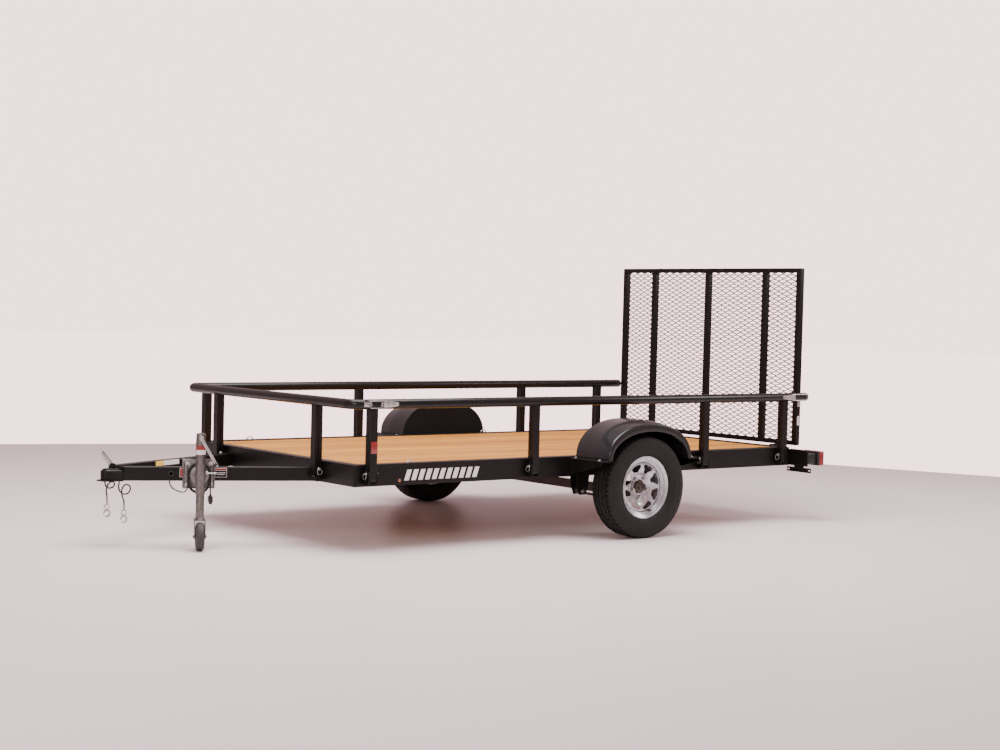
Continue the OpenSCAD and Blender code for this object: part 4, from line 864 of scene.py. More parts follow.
for side in ("left", "right"):
    sign = 1 if side == "left" else -1
    wheel_centre = sum(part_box("tyre_" + side), Vector()) / 2
    place = Matrix.Translation(wheel_centre) @ turned(-90 * sign, "X")
    whole = bmesh.new()
    lathe(whole, flange + barrel, 96, place)
    disc = turning(disc_line, disc_steps, closed=False)
    settle(disc)
    sector = math.tau / window_count
    doomed, near = [], set()
    for face in disc.faces:
        spot = face.calc_center_median()
        r, a = math.hypot(spot.x, spot.y), math.atan2(spot.y, spot.x) % sector - sector / 2
        wide = 0.31 if r > 0.112 else 0.25 if r > 0.1 else 0.16
        if window_low < r < window_high and abs(a) < wide * sector:
            doomed.append(face)
    bmesh.ops.delete(disc, geom=doomed, context="FACES")
    rim_edges = [v for v in disc.verts if v.is_boundary and 0.08 < math.hypot(v.co.x, v.co.y) < 0.1345]
    for _ in range(3):
        bmesh.ops.smooth_vert(disc, verts=rim_edges, factor=0.5, use_axis_x=True, use_axis_y=True,
                              use_axis_z=False)
    if sum(f.normal.z for f in disc.faces) < 0:
        bmesh.ops.reverse_faces(disc, faces=disc.faces)
    bmesh.ops.solidify(disc, geom=disc.faces, thickness=0.0035)
    window_edges = [e for e in disc.edges if len(e.link_faces) == 2 and e.calc_face_angle(0) > 1.0 and 0.08 < math.hypot(e.verts[0].co.x, e.verts[0].co.y) < 0.1345]
    soften(disc, window_edges, 0.0009, 2, True)
    put_in(whole, disc, place)
    finished("steel_rim_" + side, whole, silver, side + "_wheel", ["rim_" + side], 40)

    nuts = bmesh.new()
    for k in range(5):
        spot = place @ turned(72 * (k + 0.25), "Z") @ moved(0.05715, 0, 0.0085)
        cored(nuts, [(0.0075, 0), (0.01, 0.0045), (0.01, 0.006)], 20, spot)
        bolt_head(nuts, spot @ moved(0, 0, 0.0055), 0.019, 0.011, 0.005)
    finished("wheel_nuts_" + side, nuts, zinc, side + "_wheel")

    hub = bmesh.new()
    lathe(hub, [(0.0191, -0.042), (0.032, -0.042), (0.032, -0.012), (0.07, -0.0065), (0.07, 0.005),
                (0.033, 0.0055), (0.033, 0.017), (0.0325, 0.019), (0.031, 0.0195), (0.0262, 0.02),
                (0.025, 0.0215), (0.025, 0.025), (0.0238, 0.0262), (0.0238, 0.04), (0.0225, 0.0425),
                (0.015, 0.044), (0.0001, 0.044), (0.0001, 0.008), (0.0191, 0.008)], 64, place)
    finished("wheel_hub_" + side, hub, hub_metal, side + "_wheel", ["hub_" + side], 35)
    soft_parts = bmesh.new()
    lathe(soft_parts, [(0.0001, 0.043), (0.015, 0.044), (0.0158, 0.0448), (0.0155, 0.0462), (0.01, 0.0476),
                       (0.0001, 0.0479)], 32, place)
    valve = place @ turned(112, "Z") @ moved(0.153, 0, 0.033) @ turned(-16, "Y")
    cored(soft_parts, [(0.008, -0.002), (0.008, 0.0005), (0.0052, 0.003), (0.0044, 0.016), (0.004, 0.0175),
                       (0.0042, 0.0185), (0.0042, 0.026), (0.0034, 0.027)], 20, valve)
    finished("cap_plug_and_valve_" + side, soft_parts, cover_finish, side + "_wheel")

# ---- Fenders ----
# Each fender is moulded in glossy charcoal plastic: a flat-topped arch, a bevelled shoulder along
# its outer edge and a turned-in skirt, with a matt inner wall. It stands on bolted steel steps.
gloss_plastic = moulded("fender_plastic", ((0.009, 0.0086, 0.01), (0.015, 0.014, 0.016)), (4.0, 340.0),
                        ("Speckle", 0.16, 0.3), ("Peel", 0.08, 0.0005), {"Dust": 0.02}, [(0.26, 0.23, 0.21)],
                        coat_weight=0.28, coat_roughness=0.07, specular_ior_level=0.2)

matt_plastic = painted("fender_inner_plastic", (0.006, 0.0055, 0.006), (0.016, 0.015, 0.016),
                       (0.1, 0.085, 0.08), dust=0.03, edge=0.05, shine=(0.66, 0.8), specular_ior_level=0.1)


def arch_spot(half, rise, power, share, base):
    """A point of a fender's arch, from 0 at its front foot over the crown to 1 at its rear foot."""
    c, s = math.cos(math.pi * share), math.sin(math.pi * share)
    return half * math.copysign(abs(c) ** (2 / power), c), base + rise * abs(s) ** (2 / power)


fender_lo, fender_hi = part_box("fender_left")
fender_base = fender_lo.z
fender_half = (fender_hi.x - fender_lo.x) / 2
fender_rise = fender_hi.z - fender_base
fender_section = [  # share of the way out, drop, drawing in of the half length, power
    (0.886, 0.0, 0.0, 2.18), (0.96, 0.0, 0.0, 2.18), (1.045, 0.0, 0.0, 2.18), (1.056, 0.0003, 0.0002, 2.18),
    (1.062, 0.0012, 0.0007, 2.18), (1.072, 0.0028, 0.0014, 2.18), (1.11, 0.0088, 0.0044, 2.18),
    (1.15, 0.015, 0.0075, 2.18),
    (1.158, 0.0166, 0.0083, 2.18), (1.163, 0.0195, 0.01, 2.165), (1.165, 0.024, 0.0125, 2.15),
    (1.165, 0.042, 0.0235, 2.11), (1.165, 0.058, 0.033, 2.07), (1.164, 0.0612, 0.035, 2.055),
    (1.16, 0.0622, 0.0356, 2.05), (1.152, 0.0622, 0.0356, 2.05)]
arch_steps = 84
for side in ("left", "right"):
    sign = 1 if side == "left" else -1
    bm = bmesh.new()
    across_count = len(fender_section) - 1
    bmesh.ops.create_grid(bm, x_segments=arch_steps, y_segments=across_count, size=1)
    for v in bm.verts:
        share = (v.co.x + 1) / 2
        y, drop, draw, power = fender_section[round((v.co.y + 1) / 2 * across_count)]
        x, z = arch_spot(fender_half - draw, fender_rise - drop, power, share, fender_base)
        v.co = (axle_x + x, y, z)
    bmesh.ops.recalc_face_normals(bm, faces=bm.faces)
    crown = max(bm.faces, key=lambda f: f.calc_center_median().z)
    if crown.normal.z < 0:
        bmesh.ops.reverse_faces(bm, faces=bm.faces)
    bmesh.ops.solidify(bm, geom=bm.faces, thickness=0.0035)
    rim = [arch_spot(fender_half - 0.001, fender_rise - 0.001, 2.18, i / arch_steps,
                     fender_base) for i in range(arch_steps + 1)]
    wall = thick([(axle_x + x, 0.882, z) for x, z in rim], (0, 0.004, 0))
    whole, inner = bmesh.new(), bmesh.new()
    mirror = Matrix.Diagonal((1, sign, 1, 1))
    put_in(whole, bm, mirror)
    put_in(inner, wall, mirror)
    finished("moulded_fender_" + side, whole, gloss_plastic, "chassis", ["fender_" + side],
             40)
    finished("fender_inner_wall_" + side, inner, matt_plastic, "chassis")
    dress("fender_steps_" + side, coat_black, 0.0012)
    bolts = bmesh.new()
    for s in (1, -1):
        for y in (0.915, 1.125):
            bolt_head(bolts, moved(axle_x + s * 0.366, sign * y, 0.4647), 0.013, 0.005, 0, 0.0012)
    finished("fender_bolts_" + side, bolts, zinc, "chassis")

# ---- Post brackets, lock pins and fold bolts ----
# Two ears welded to the frame hold each post. The post turns on a black bolt and is kept upright
# by a plated lock pin with a ring, which hangs from the post on a thin covered wire.
for side in ("left", "right", "front"):
    dress("post_brackets_" + side, coat_black, 0.0012)
rail_x = {"front": 1.15, "middle": 0.039, "back": -1.317, "rear": -2.019}
post_half, ear_out = 0.023, 0.029
rail_y, rail_z, fold_z, pin_z = 0.909, 0.798, 0.395, 0.428
front_post_x, front_post_y = 1.266, 0.545
for side, sign in (("left", 1), ("right", -1)):
    bolts = bmesh.new()
    for x in rail_x.values():
        for s in (1, -1):
            at = moved(x + s * (ear_out + 0.0005), sign * rail_y, fold_z) @ turned(s * 90, "Y")
            bolt_head(bolts, at, 0.019, 0.008, 0.005 if s < 0 else 0.0, 0.001)
    finished("fold_bolts_" + side, bolts, coat_black, "chassis")
bolts = bmesh.new()
for y in (front_post_y, -front_post_y):
    for s in (1, -1):
        at = moved(front_post_x, y + s * (ear_out + 0.0005), fold_z) @ turned(-s * 90, "X")
        bolt_head(bolts, at, 0.019, 0.008, 0.005 if s < 0 else 0.0, 0.001)
finished("fold_bolts_front", bolts, coat_black, "chassis")


def lock_pin(bm, place):
    """Both visible ends of a lock pin along X at z = pin_z, just outside the ears, with its ring."""
    side_x = ear_out + 0.0012
    lathe(bm, [(0.0001, 0), (0.0085, 0), (0.0085, 0.002), (0.0068, 0.0035), (0.0045, 0.0038), (0.0045, 0.011),
               (0.0055, 0.012), (0.0055, 0.015), (0.0001, 0.0165)], 20, place @ moved(side_x, 0, pin_z)
               @ turned(90, "Y"))
    lathe(bm, [(0.0001, 0), (0.0048, 0), (0.0048, 0.012), (0.003, 0.0155), (0.0001, 0.016)], 16,
          place @ moved(-side_x, 0, pin_z) @ turned(-90, "Y"))
    put_in(bm, torus(0.015, 0.0013, 28, 6), place @ moved(side_x + 0.0105, 0, 0.4135) @ turned(90, "Y"))


# ---- Side rails and front rail ----
# Round steel tube on square posts, welded and coped, then powder coated. The tube ends have black
# plastic plugs, and a red reflector is fixed to the outer face of each front post.
rail_black = painted("rail_black", *black_tones, dust=0.035, edge=0.2, shine=(0.22, 0.36),
                     specular_ior_level=0.24)
weld_z, weld_out = 0.7795, 0.0235
for side, sign in (("left", 1), ("right", -1)):
    dress("side_rail_" + side, rail_black, 0.002, 2)
    rail_lo, rail_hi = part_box("side_rail_" + side)
    plugs = bmesh.new()
    for x, turn in ((rail_hi.x, 0), (rail_lo.x, math.pi)):
        lathe(plugs, [(0.0001, -0.01), (0.0237, -0.01), (0.0237, 0.0005), (0.0262, 0.0005), (0.0266, 0.0015),
                      (0.025, 0.0038), (0.018, 0.0052), (0.0001, 0.0055)], 36, moved(x, sign * rail_y,
                              rail_z) @ Matrix.Rotation(turn, 4, "Z") @ turned(90, "Y"))
    finished("rail_plugs_" + side, plugs, cover_finish, side + "_rail")
    pins = bmesh.new()
    for x in rail_x.values():
        lock_pin(pins, moved(x, sign * rail_y, 0))
    finished("rail_lock_pins_" + side, pins, zinc, side + "_rail")
    for label, x in rail_x.items():
        anchor = Vector((x + post_half, sign * 0.922, 0.52))
        stops = [anchor, anchor + Vector((0.01, sign * 0.003, -0.002)),
                 anchor + Vector((0.018, sign * 0.01, -0.024)), anchor + Vector((0.02, sign * 0.014, -0.06)),
                 Vector((x + 0.0425, sign * 0.924, 0.432)), Vector((x + 0.0415, sign * 0.9235, 0.415))]
        route = smooth_route(stops, 4)
        wire = round_cord(f"pin_lanyard_{side}_{label}", route, 0.0018, cover_finish, 2)
        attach(wire, side + "_rail")
    bm = bmesh.new()
    put_in(bm, block((0.038, 0.003, 0.064), 0.0012, 2, (rail_x["front"], sign * 0.9335, 0.568)))
    finished("post_reflector_" + side, bm, tape_red, side + "_rail")
    welds = bmesh.new()
    for x in rail_x.values():
        for s in (1, -1):
            bead(welds, ((x + s * weld_out, sign * rail_y - 0.018, weld_z),
                         (x + s * weld_out, sign * rail_y + 0.018, weld_z)), 0.003)
    finished("rail_welds_" + side, welds, rail_black, side + "_rail")
dress("front_rail", rail_black, 0.002, 2)
pins = bmesh.new()
plugs = bmesh.new()
welds = bmesh.new()
for sign in (1, -1):
    lock_pin(pins, moved(front_post_x, sign * front_post_y, 0) @ turned(90, "Z"))
    lathe(plugs, [(0.0001, -0.01), (0.0237, -0.01), (0.0237, 0.0005), (0.0262, 0.0005), (0.025, 0.003),
                  (0.0001, 0.004)], 36, moved(1.199, sign * rail_y, rail_z) @ turned(-90, "Y"))
    for s in (1, -1):
        bead(welds, ((1.248, sign * front_post_y + s * weld_out, weld_z),
                     (1.284, sign * front_post_y + s * weld_out, weld_z)), 0.003)
finished("front_rail_lock_pins", pins, zinc, "front_rail")
finished("front_rail_plugs", plugs, cover_finish, "front_rail")
finished("front_rail_welds", welds, rail_black, "front_rail")

# ---- Rail latches ----
# Plated over-centre latches tie the side rails to the front rail and to the gate. A pressed base
# is riveted to the tube, the lever folds flat on it, and its wire bail hooks over a keeper.
latch_y = 0.9345


def bent_wire(bm, stops, wire_d, steps=5, sides=8):
    """A round wire through the stops, with capped ends."""
    route = smooth_route(stops, steps)
    heading = (route[1] - route[0]).normalized()
    part = bmesh.new()
    bmesh.ops.create_circle(part, cap_ends=True, segments=sides, radius=wire_d / 2,
                            matrix=Matrix.Translation(route[0]) @ heading.to_track_quat("Z",
                                    "Y").to_matrix().to_4x4())
    cap = part.faces[:]
    for k in range(1, len(route)):
        grown = bmesh.ops.extrude_face_region(part, geom=cap)["geom"]
        if k > 1:
            bmesh.ops.delete(part, geom=cap, context="FACES_ONLY")
        fresh = verts_of(grown)
        cap = faces_of(grown)
        ahead = (route[min(k + 1, len(route) - 1)] - route[k - 1]).normalized()
        swing = heading.rotation_difference(ahead).to_matrix().to_4x4()
        bmesh.ops.transform(part, verts=fresh, matrix=Matrix.Translation(route[k]) @ swing
                            @ Matrix.Translation(-route[k - 1]))
        heading = ahead
    put_in(bm, part)


def rounded_plate(points, thickness, rounding=0.0008):
    """A flat outline in X and Z, thickened along Y, with soft edges."""
    bm = thick([(x, 0, z) for x, z in points], (0, thickness, 0))
    bmesh.ops.recalc_face_normals(bm, faces=bm.faces)
    soften(bm, bm.edges, rounding, 2, True)
    return bm


def capsule(length, height, count=8):
    """The outline of a plate with one round end at x = 0 and one square end."""
    r = height / 2
    arc = [(r - r * math.sin(math.pi * k / count),
            r * math.cos(math.pi * k / count)) for k in range(count + 1)]
    return arc + [(length, -r), (length, r)]


for side, sign in (("left", 1), ("right", -1)):
    for label, root, heading in (("front", 0.962, 1), ("rear", -1.955, -1)):
        flip = Matrix.Diagonal((heading, sign, 1, 1))
        place = moved(root, sign * latch_y, rail_z) @ flip
        bm = bmesh.new()
        put_in(bm, rounded_plate(capsule(0.115, 0.022), 0.003), place @ moved(0.035, 0, 0))
        put_in(bm, rounded_plate([(0.062, 0.0125), (0.076, 0.0148), (0.132, 0.016), (0.14, 0.011),
                                  (0.14, -0.011), (0.132, -0.016), (0.076, -0.0148), (0.062, -0.0125),
                                  (0.051, -0.0085), (0.046, -0.003), (0.046, 0.003), (0.051, 0.0085)],
                                  0.0028), place @ moved(0, 0.0075, 0))
        for s in (1, -1):
            put_in(bm, block((0.05, 0.009, 0.0026), 0.0008, 2, (0.112, 0.006, s * 0.0146)), place)
        for x, r in ((0.058, 0.0034), (0.092, 0.0046), (0.126, 0.0055)):
            lathe(bm, [(0.0001, 0), (r, 0), (r, 0.0015), (r * 0.7, 0.003), (0.0001, 0.0034)], 16,
                  place @ moved(x, 0.01, 0) @ turned(-90, "X"))
        rod(bm, 0.003, -0.0195, 0.0195, 14, place @ moved(0.118, 0.0055, 0))
        finished(f"latch_{side}_{label}", bm, zinc, side + "_rail",
                 ["latches_" + side] if label == "front" else [])
        reach = 0.222 if label == "front" else 0.252
        bail = bmesh.new()
        corners = [(0.118, 0.0055, 0.0195), (0.15, 0.006, 0.019), (reach - 0.012, 0.008, 0.019),
                   (reach - 0.002, 0.0085, 0.015), (reach, 0.0085, 0.0), (reach - 0.002, 0.0085, -0.015),
                   (reach - 0.012, 0.008, -0.019), (0.15, 0.006, -0.019), (0.118, 0.0055, -0.0195)]
        bent_wire(bail, [place @ Vector(c) for c in corners], 0.0042)
        finished(f"latch_bail_{side}_{label}", bail, zinc, side + "_rail")
    keeper = bmesh.new()
    place = moved(1.206, sign * latch_y, rail_z) @ Matrix.Diagonal((1, sign, 1, 1))
    put_in(keeper, block((0.04, 0.0025, 0.024), 0.001, 2, (-0.006, 0.0016, 0)), place)
    put_in(keeper, block((0.0035, 0.01, 0.018), 0.001, 2, (-0.03, 0.006, 0)), place)
    put_in(keeper, block((0.008, 0.0025, 0.018), 0.001, 2, (-0.0275, 0.0027, 0)), place)
    for x in (-0.014, 0.006):
        lathe(keeper, [(0.0001, 0), (0.0036, 0), (0.003, 0.0016), (0.0001, 0.002)], 14,
              place @ moved(x, 0.0028, 0) @ turned(-90, "X"))
    finished("front_rail_keeper_" + side, keeper, zinc, "front_rail")

# ---- Gate ----
# The ramp gate is a welded frame of square tube with five uprights and a sheet of flattened
# expanded steel on its front face. It hangs on two lugs and pins behind the bed.
gate_black = painted("gate_black", *black_tones, dust=0.035, edge=0.2, specular_ior_level=0.16)
gate_lo, gate_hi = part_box("gate_mesh")
gate_x, gate_tube, gate_top, gate_base, gate_side = -2.222, 0.038, 1.634, 0.478, 0.857
bm = bmesh.new()
for y in (gate_side - gate_tube / 2, 0.535, 0, -0.535, gate_tube / 2 - gate_side):
    tall = (gate_top, gate_base) if abs(y) > 0.6 else (gate_top - 0.0275, gate_base + 0.0275)
    put_in(bm, block((gate_tube, gate_tube, tall[0] - tall[1]), 0.003, 3,
                     (gate_x, y, (tall[0] + tall[1]) / 2)))
for z in (gate_top - 0.014, gate_base + 0.014):
    put_in(bm, block((gate_tube - 0.0004, 2 * gate_side - 2 * gate_tube + 0.001, 0.028), 0.003, 3,
                     (gate_x, 0, z)))
for sign in (1, -1):
    put_in(bm, block((0.072, 0.036, 0.024), 0.002, 2, (-2.2, sign * 0.68, 0.464)))
    lathe(bm, [(0.0083, -0.018), (0.014, -0.018), (0.014, 0.018), (0.0083, 0.018)], 36,
          moved(-2.162, sign * 0.68, 0.445) @ turned(90, "X"))
    for y in (0.838, 0.535):
        for z, up in ((gate_base + 0.0285, 1), (gate_top - 0.0285, -1)):
            for s in (1, -1):
                bead(bm, ((gate_x - 0.016, sign * y + s * 0.0195, z), (gate_x + 0.016, sign * y + s * 0.0195,
                        z)), 0.0022)
finished("gate_frame_tubes", bm, gate_black, "gate", ["gate_frame"])

strand_w, diamonds, strand_rows = 0.0066, 23, 70
pitch_y = (gate_hi.y - gate_lo.y) / diamonds
pitch_z = (gate_hi.z - gate_lo.z) / strand_rows
swing = (pitch_z - strand_w) / 2
bm = bmesh.new()
bends = []
for k in range(diamonds):
    start = gate_lo.y + k * pitch_y
    for share, height in ((0.0, -1), (0.02, -1), (0.48, 1), (0.52, 1), (0.98, -1)):
        bends.append(bm.verts.new((gate_lo.x, start + share * pitch_y,
                                   gate_lo.z + pitch_z / 2 + height * swing - strand_w / 2)))
bends.append(bm.verts.new((gate_lo.x, gate_hi.y, gate_lo.z + pitch_z / 2 - swing - strand_w / 2)))
strand = [bm.edges.new(pair) for pair in zip(bends, bends[1:])]
grown = bmesh.ops.extrude_edge_only(bm, edges=strand)["geom"]
bmesh.ops.translate(bm, vec=(0, 0, strand_w), verts=verts_of(grown))
first_row = bm.verts[:] + bm.edges[:] + bm.faces[:]
second = bmesh.ops.duplicate(bm, geom=first_row)["geom"]
second_verts = verts_of(second)
bmesh.ops.scale(bm, vec=(1, 1, -1), space=moved(0, 0, -(gate_lo.z + pitch_z / 2)), verts=second_verts)
bmesh.ops.translate(bm, vec=(0, 0, pitch_z), verts=second_verts)
bmesh.ops.reverse_faces(bm, faces=faces_of(second))
pair = bm.verts[:] + bm.edges[:] + bm.faces[:]
for k in range(1, strand_rows // 2):
    copied = bmesh.ops.duplicate(bm, geom=pair)["geom"]
    bmesh.ops.translate(bm, vec=(0, 0, 2 * k * pitch_z), verts=verts_of(copied))
bm.normal_update()
if sum(f.normal.x for f in bm.faces) < 0:
    bmesh.ops.reverse_faces(bm, faces=bm.faces)
bmesh.ops.solidify(bm, geom=bm.faces, thickness=-0.0014)
finished("gate_expanded_mesh", bm, gate_black, "gate", ["gate_mesh"])
dress("gate_hinges", coat_black, 0.0012)
bm = bmesh.new()
for sign in (1, -1):
    place = moved(-2.223, sign * 0.857, 0.765) @ Matrix.Diagonal((1, sign, 1, 1))
    put_in(bm, block((0.028, 0.003, 0.068), 0.001, 2, (0, 0.0017, 0)), place)
    put_in(bm, block((0.01, 0.008, 0.016), 0.0015, 2, (-0.004, 0.006, 0.018)), place)
    for z in (-0.024, -0.006):
        bolt_head(bm, place @ moved(0, 0.0032, z) @ turned(-90, "X"), 0.01, 0.004, 0, 0.0008)
finished("gate_latch_keepers", bm, zinc, "gate", ["gate_keepers"])
bm = bmesh.new()
put_in(bm, block((0.022, 0.0006, 0.06), 0.0002, 1, (gate_x, gate_side + 0.0003, 0.64)))
finished("gate_edge_tape", bm, paper, "gate")

# ---- Tail lights and plate bar ----
# Each square tail light is a red ribbed lens welded to a black housing, whose stem goes through a
# steel plate on the frame's corner. A slotted bar for a number plate hangs under the left one.
lens_red, tree, shader = new_finish("tail_light_lens", roughness=0.22, coat_weight=0.35,
                                    specular_ior_level=0.4)
here = add_node(tree, "TexCoord").outputs["Object"]
prisms = add_node(tree, "TexVoronoi", {"Vector": here, "Scale": 150.0, "Randomness": 0.0})
flutes = add_node(tree, "TexWave", {"Vector": here, "Scale": 55.0}, bands_direction="Z")
lens_depth = mix_tones(tree, prisms.outputs["Distance"], (0.1, 0.002, 0.0018), (0.3, 0.006, 0.0045))
dust_mask = use_group(tree, grime_and_edge_highlight, {"Dust": 0.1}).outputs["Dust"]
cells = math_node(tree, "ADD", prisms.outputs["Distance"], flutes.outputs["Fac"])
link_finish(tree, shader, mix_tones(tree, dust_mask, lens_depth, (0.2, 0.08, 0.07)), None, cells, 0.5, 0.0012)
for side in ("left", "right"):
    light_lo, light_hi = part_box("tail_light_" + side)
    middle_y, middle_z = (light_lo.y + light_hi.y) / 2, (light_lo.z + light_hi.z) / 2
    wide, tall = light_hi.y - light_lo.y, light_hi.z - light_lo.z
    facing = moved(light_lo.x, middle_y, middle_z)
    lens = bmesh.new()
    put_in(lens, block((0.046, wide, tall), 0.009, 5, (0.023, 0, 0)), facing)
    rows = 4
    for k in range(rows):
        put_in(lens, block((0.004, wide - 0.03, 0.01), 0.0015, 2, (0.0022, 0, (k - (rows - 1) / 2) * 0.018)),
               facing)
    finished("tail_light_lens_" + side, lens, lens_red, "chassis")
    housing = bmesh.new()
    put_in(housing, block((0.016, wide - 0.002, tall - 0.002), 0.004, 3, (0.052, 0, 0)), facing)
    put_in(housing, block((0.097, wide - 0.026, tall - 0.026), 0.006, 3, (0.109, 0, 0)), facing)
    for s in (1, -1):
        rod(housing, 0.0055, 0, 0.012, 20, facing @ moved(0.0462, s * (wide / 2 - 0.014), 0) @ turned(90,
                "Y"))
    finished("tail_light_housing_" + side, housing, cover_finish, "chassis",
             ["tail_light_" + side])
    screws = bmesh.new()
    for s in (1, -1):
        lathe(screws, [(0.0001, 0.0008), (0.0012, 0.0006), (0.003, 0.001), (0.004, 0), (0.004, -0.002),
                       (0.0001, -0.002)], 16, facing @ moved(-0.0006, s * (wide / 2 - 0.012),
                               -tall / 2 + 0.012) @ turned(-90, "Y"))
    finished("lens_screws_" + side, screws, zinc, "chassis")
    dress("light_bracket_" + side, coat_black, 0.0012)
dress("plate_bracket", coat_black, 0.0008)

# ---- Jack ----
# A zinc-plated side-wind jack. Two ribbed plates are bolted round the left tongue beam and carry
# a drum; the outer tube swivels on it, the crank winds the leg down, and a caster turns under it.
swivel_z, tube_n, drum_r = 0.393, 0.122, 0.05
head_z, grip_f, grip_z = 0.596, -0.08, 0.4574
upright = turned(-90, "X")


def outwards(f, n, z):
    """The place of a turning whose axis points out from the beam."""
    return jack_place @ moved(f, n, z) @ upright


def along_beam(f, n, z):
    """The place of a turning whose axis points along the beam, to the front."""
    return jack_place @ moved(f, n, z) @ turned(90, "Y")


# A darker copy of the zinc plating for the jack, with painted darker reflections in its colour
jack_zinc_reflection_shaded = metal_finish("jack_plate_reflection_shaded", 95.0, (0.185, 0.178, 0.17, 1), (0.06, 0.057, 0.054, 1), 1.0)
clamp = bmesh.new()
mid_z, plate = 0.3925, (0.17, 0.006, 0.156)
put_in(clamp, block(plate, 0.0012, 2, (0, 0.0031, mid_z)), jack_place)
put_in(clamp, block(plate, 0.0012, 2, (0, -0.0531, mid_z)), jack_place)
for s in (1, -1):
    put_in(clamp, block((0.005, 0.01, 0.152), 0.0015, 2, (s * 0.0823, 0.0105, mid_z)), jack_place)
    put_in(clamp, block((0.007, 0.005, 0.118), 0.0022, 3, (s * 0.0625, 0.0075, mid_z)), jack_place)
cored(clamp, [(drum_r, 0), (drum_r, 0.004), (drum_r - 0.003, 0.0055), (drum_r - 0.008, 0.0058),
              (drum_r - 0.008, 0.048), (drum_r - 0.003, 0.0485), (drum_r, 0.05), (drum_r, 0.0535),
              (drum_r - 0.002, 0.054)], 56, outwards(0, 0.006, swivel_z))
finished("jack_clamp_plates", clamp, jack_zinc_reflection_shaded, "chassis", ["jack_mount"])
bolts = bmesh.new()
for s in (1, -1):
    for t in (1, -1):
        bolt_head(bolts, outwards(s * 0.062, 0.0062, mid_z + t * 0.056), 0.015, 0.007, 0.0, 0.0015)
        rod(bolts, 0.005, 0, 0.05, 16, outwards(s * 0.062, -0.05, mid_z + t * 0.056))
        bolt_head(bolts, jack_place @ moved(s * 0.062, -0.0562, mid_z + t * 0.056) @ turned(90, "X"), 0.015,
                  0.007, 0.0, 0.0008)
finished("jack_clamp_bolts", bolts, zinc, "chassis")

tube = bmesh.new()
tube_r, tube_low, tube_high = 0.0255, 0.296, 0.622
lathe(tube, [(tube_r - 0.003, tube_low + 0.001), (tube_r - 0.001, tube_low), (tube_r, tube_low + 0.001),
             (tube_r, tube_high - 0.02), (tube_r - 0.0012, tube_high - 0.0192),
             (tube_r - 0.0012, tube_high - 0.0165), (tube_r, tube_high - 0.0155), (tube_r, tube_high - 0.007),
             (tube_r - 0.003, tube_high - 0.002), (tube_r - 0.01, tube_high), (0.0001, tube_high),
             (0.0001, tube_high - 0.004), (tube_r - 0.003, tube_high - 0.006)], 56, jack_place
             @ moved(0, tube_n, 0))
cored(tube, [(drum_r - 0.001, 0), (drum_r, 0.001), (drum_r, 0.007), (drum_r - 0.002, 0.008)], 56,
      outwards(0, 0.0603, swivel_z))
for s in (1, -1):
    put_in(tube, block((0.005, tube_n - 0.068, 0.08), 0.0012, 2, (s * 0.0175, (0.068 + tube_n) / 2 - 0.004,
            swivel_z)), jack_place)
put_in(tube, block((0.036, 0.004, 0.08), 0.001, 2, (0, 0.08, swivel_z)), jack_place)
lathe(tube, [(0.0063, 0), (0.015, 0), (0.015, 0.0105), (0.0135, 0.013), (0.011, 0.014), (0.0063, 0.014)], 40,
      outwards(0, tube_n + 0.0195, head_z))
for t in (1, -1):
    bead_z = swivel_z + t * 0.04
    bead(tube, (jack_place @ Vector((-0.018, 0.0985, bead_z)), jack_place @ Vector((0.018, 0.0985, bead_z))),
         0.0022)
finished("jack_outer_tube", tube, jack_zinc_reflection_shaded, "jack_body", ["jack_tube"])
plunger = bmesh.new()
cored(plunger, [(0.0085, 0), (0.0085, 0.014), (0.006, 0.0165), (0.0045, 0.017), (0.0045, 0.028)], 24,
      outwards(-0.036, 0.0682, swivel_z + 0.012))
lathe(plunger, [(0.0001, 0), (0.0035, 0.0002), (0.0035, 0.04), (0.0045, 0.042), (0.0055, 0.048),
                (0.0048, 0.053), (0.0001, 0.054)], 20, jack_place @ moved(-0.032, 0.0915, swivel_z + 0.012)
                @ turned(-90, "Y"))
finished("swivel_pull_pin", plunger, zinc, "jack_body")
for name, low, high, finish, slot in (("jack_label_red", 0.534, 0.556, tape_red, "light_red"),
                                      ("jack_label_white", 0.509, 0.533, paper, "zinc")):
    band = bmesh.new()
    part = turning([(tube_r + 0.0001, low), (tube_r + 0.0005, low), (tube_r + 0.0005, high),
                    (tube_r + 0.0001, high)], 60)
    settle(part)
    bmesh.ops.bisect_plane(part, geom=part.verts[:] + part.edges[:] + part.faces[:], plane_co=(0, 0.004, 0),
                           plane_no=(0, 1, 0), clear_inner=True)
    bmesh.ops.holes_fill(part, edges=[e for e in part.edges if e.is_boundary])
    put_in(band, part, jack_place @ moved(0, tube_n, 0))
    finished(name, band, finish, "jack_body")

crank = bmesh.new()
rod(crank, 0.0058, 0, 0.016, 24, outwards(0, 0.1485, head_z))
lathe(crank, [(0.0001, 0), (0.011, 0), (0.012, 0.001), (0.012, 0.005), (0.011, 0.006), (0.0075, 0.0062),
              (0.007, 0.0075), (0.0001, 0.0078)], 32, outwards(0, 0.1595, head_z))
arm_length = math.hypot(grip_f, head_z - grip_z)
arm_tilt = math.atan2(-grip_f, head_z - grip_z)
arm_turn = jack_place @ moved(0, 0.1595, head_z) @ Matrix.Rotation(arm_tilt, 4, "Y")
put_in(crank, block((0.016, 0.0056, arm_length), 0.0022, 3, (0, 0.003, -arm_length / 2)), arm_turn)
cored(crank, [(0.0085, 0), (0.009, 0.001), (0.009, 0.005), (0.0085, 0.006)], 28, outwards(grip_f, 0.1595,
        grip_z))
lathe(crank, [(0.0001, 0), (0.0042, 0), (0.0042, 0.071), (0.0066, 0.0715), (0.0062, 0.0745), (0.0035, 0.0765),
              (0.0001, 0.077)], 20, outwards(grip_f, 0.1605, grip_z))
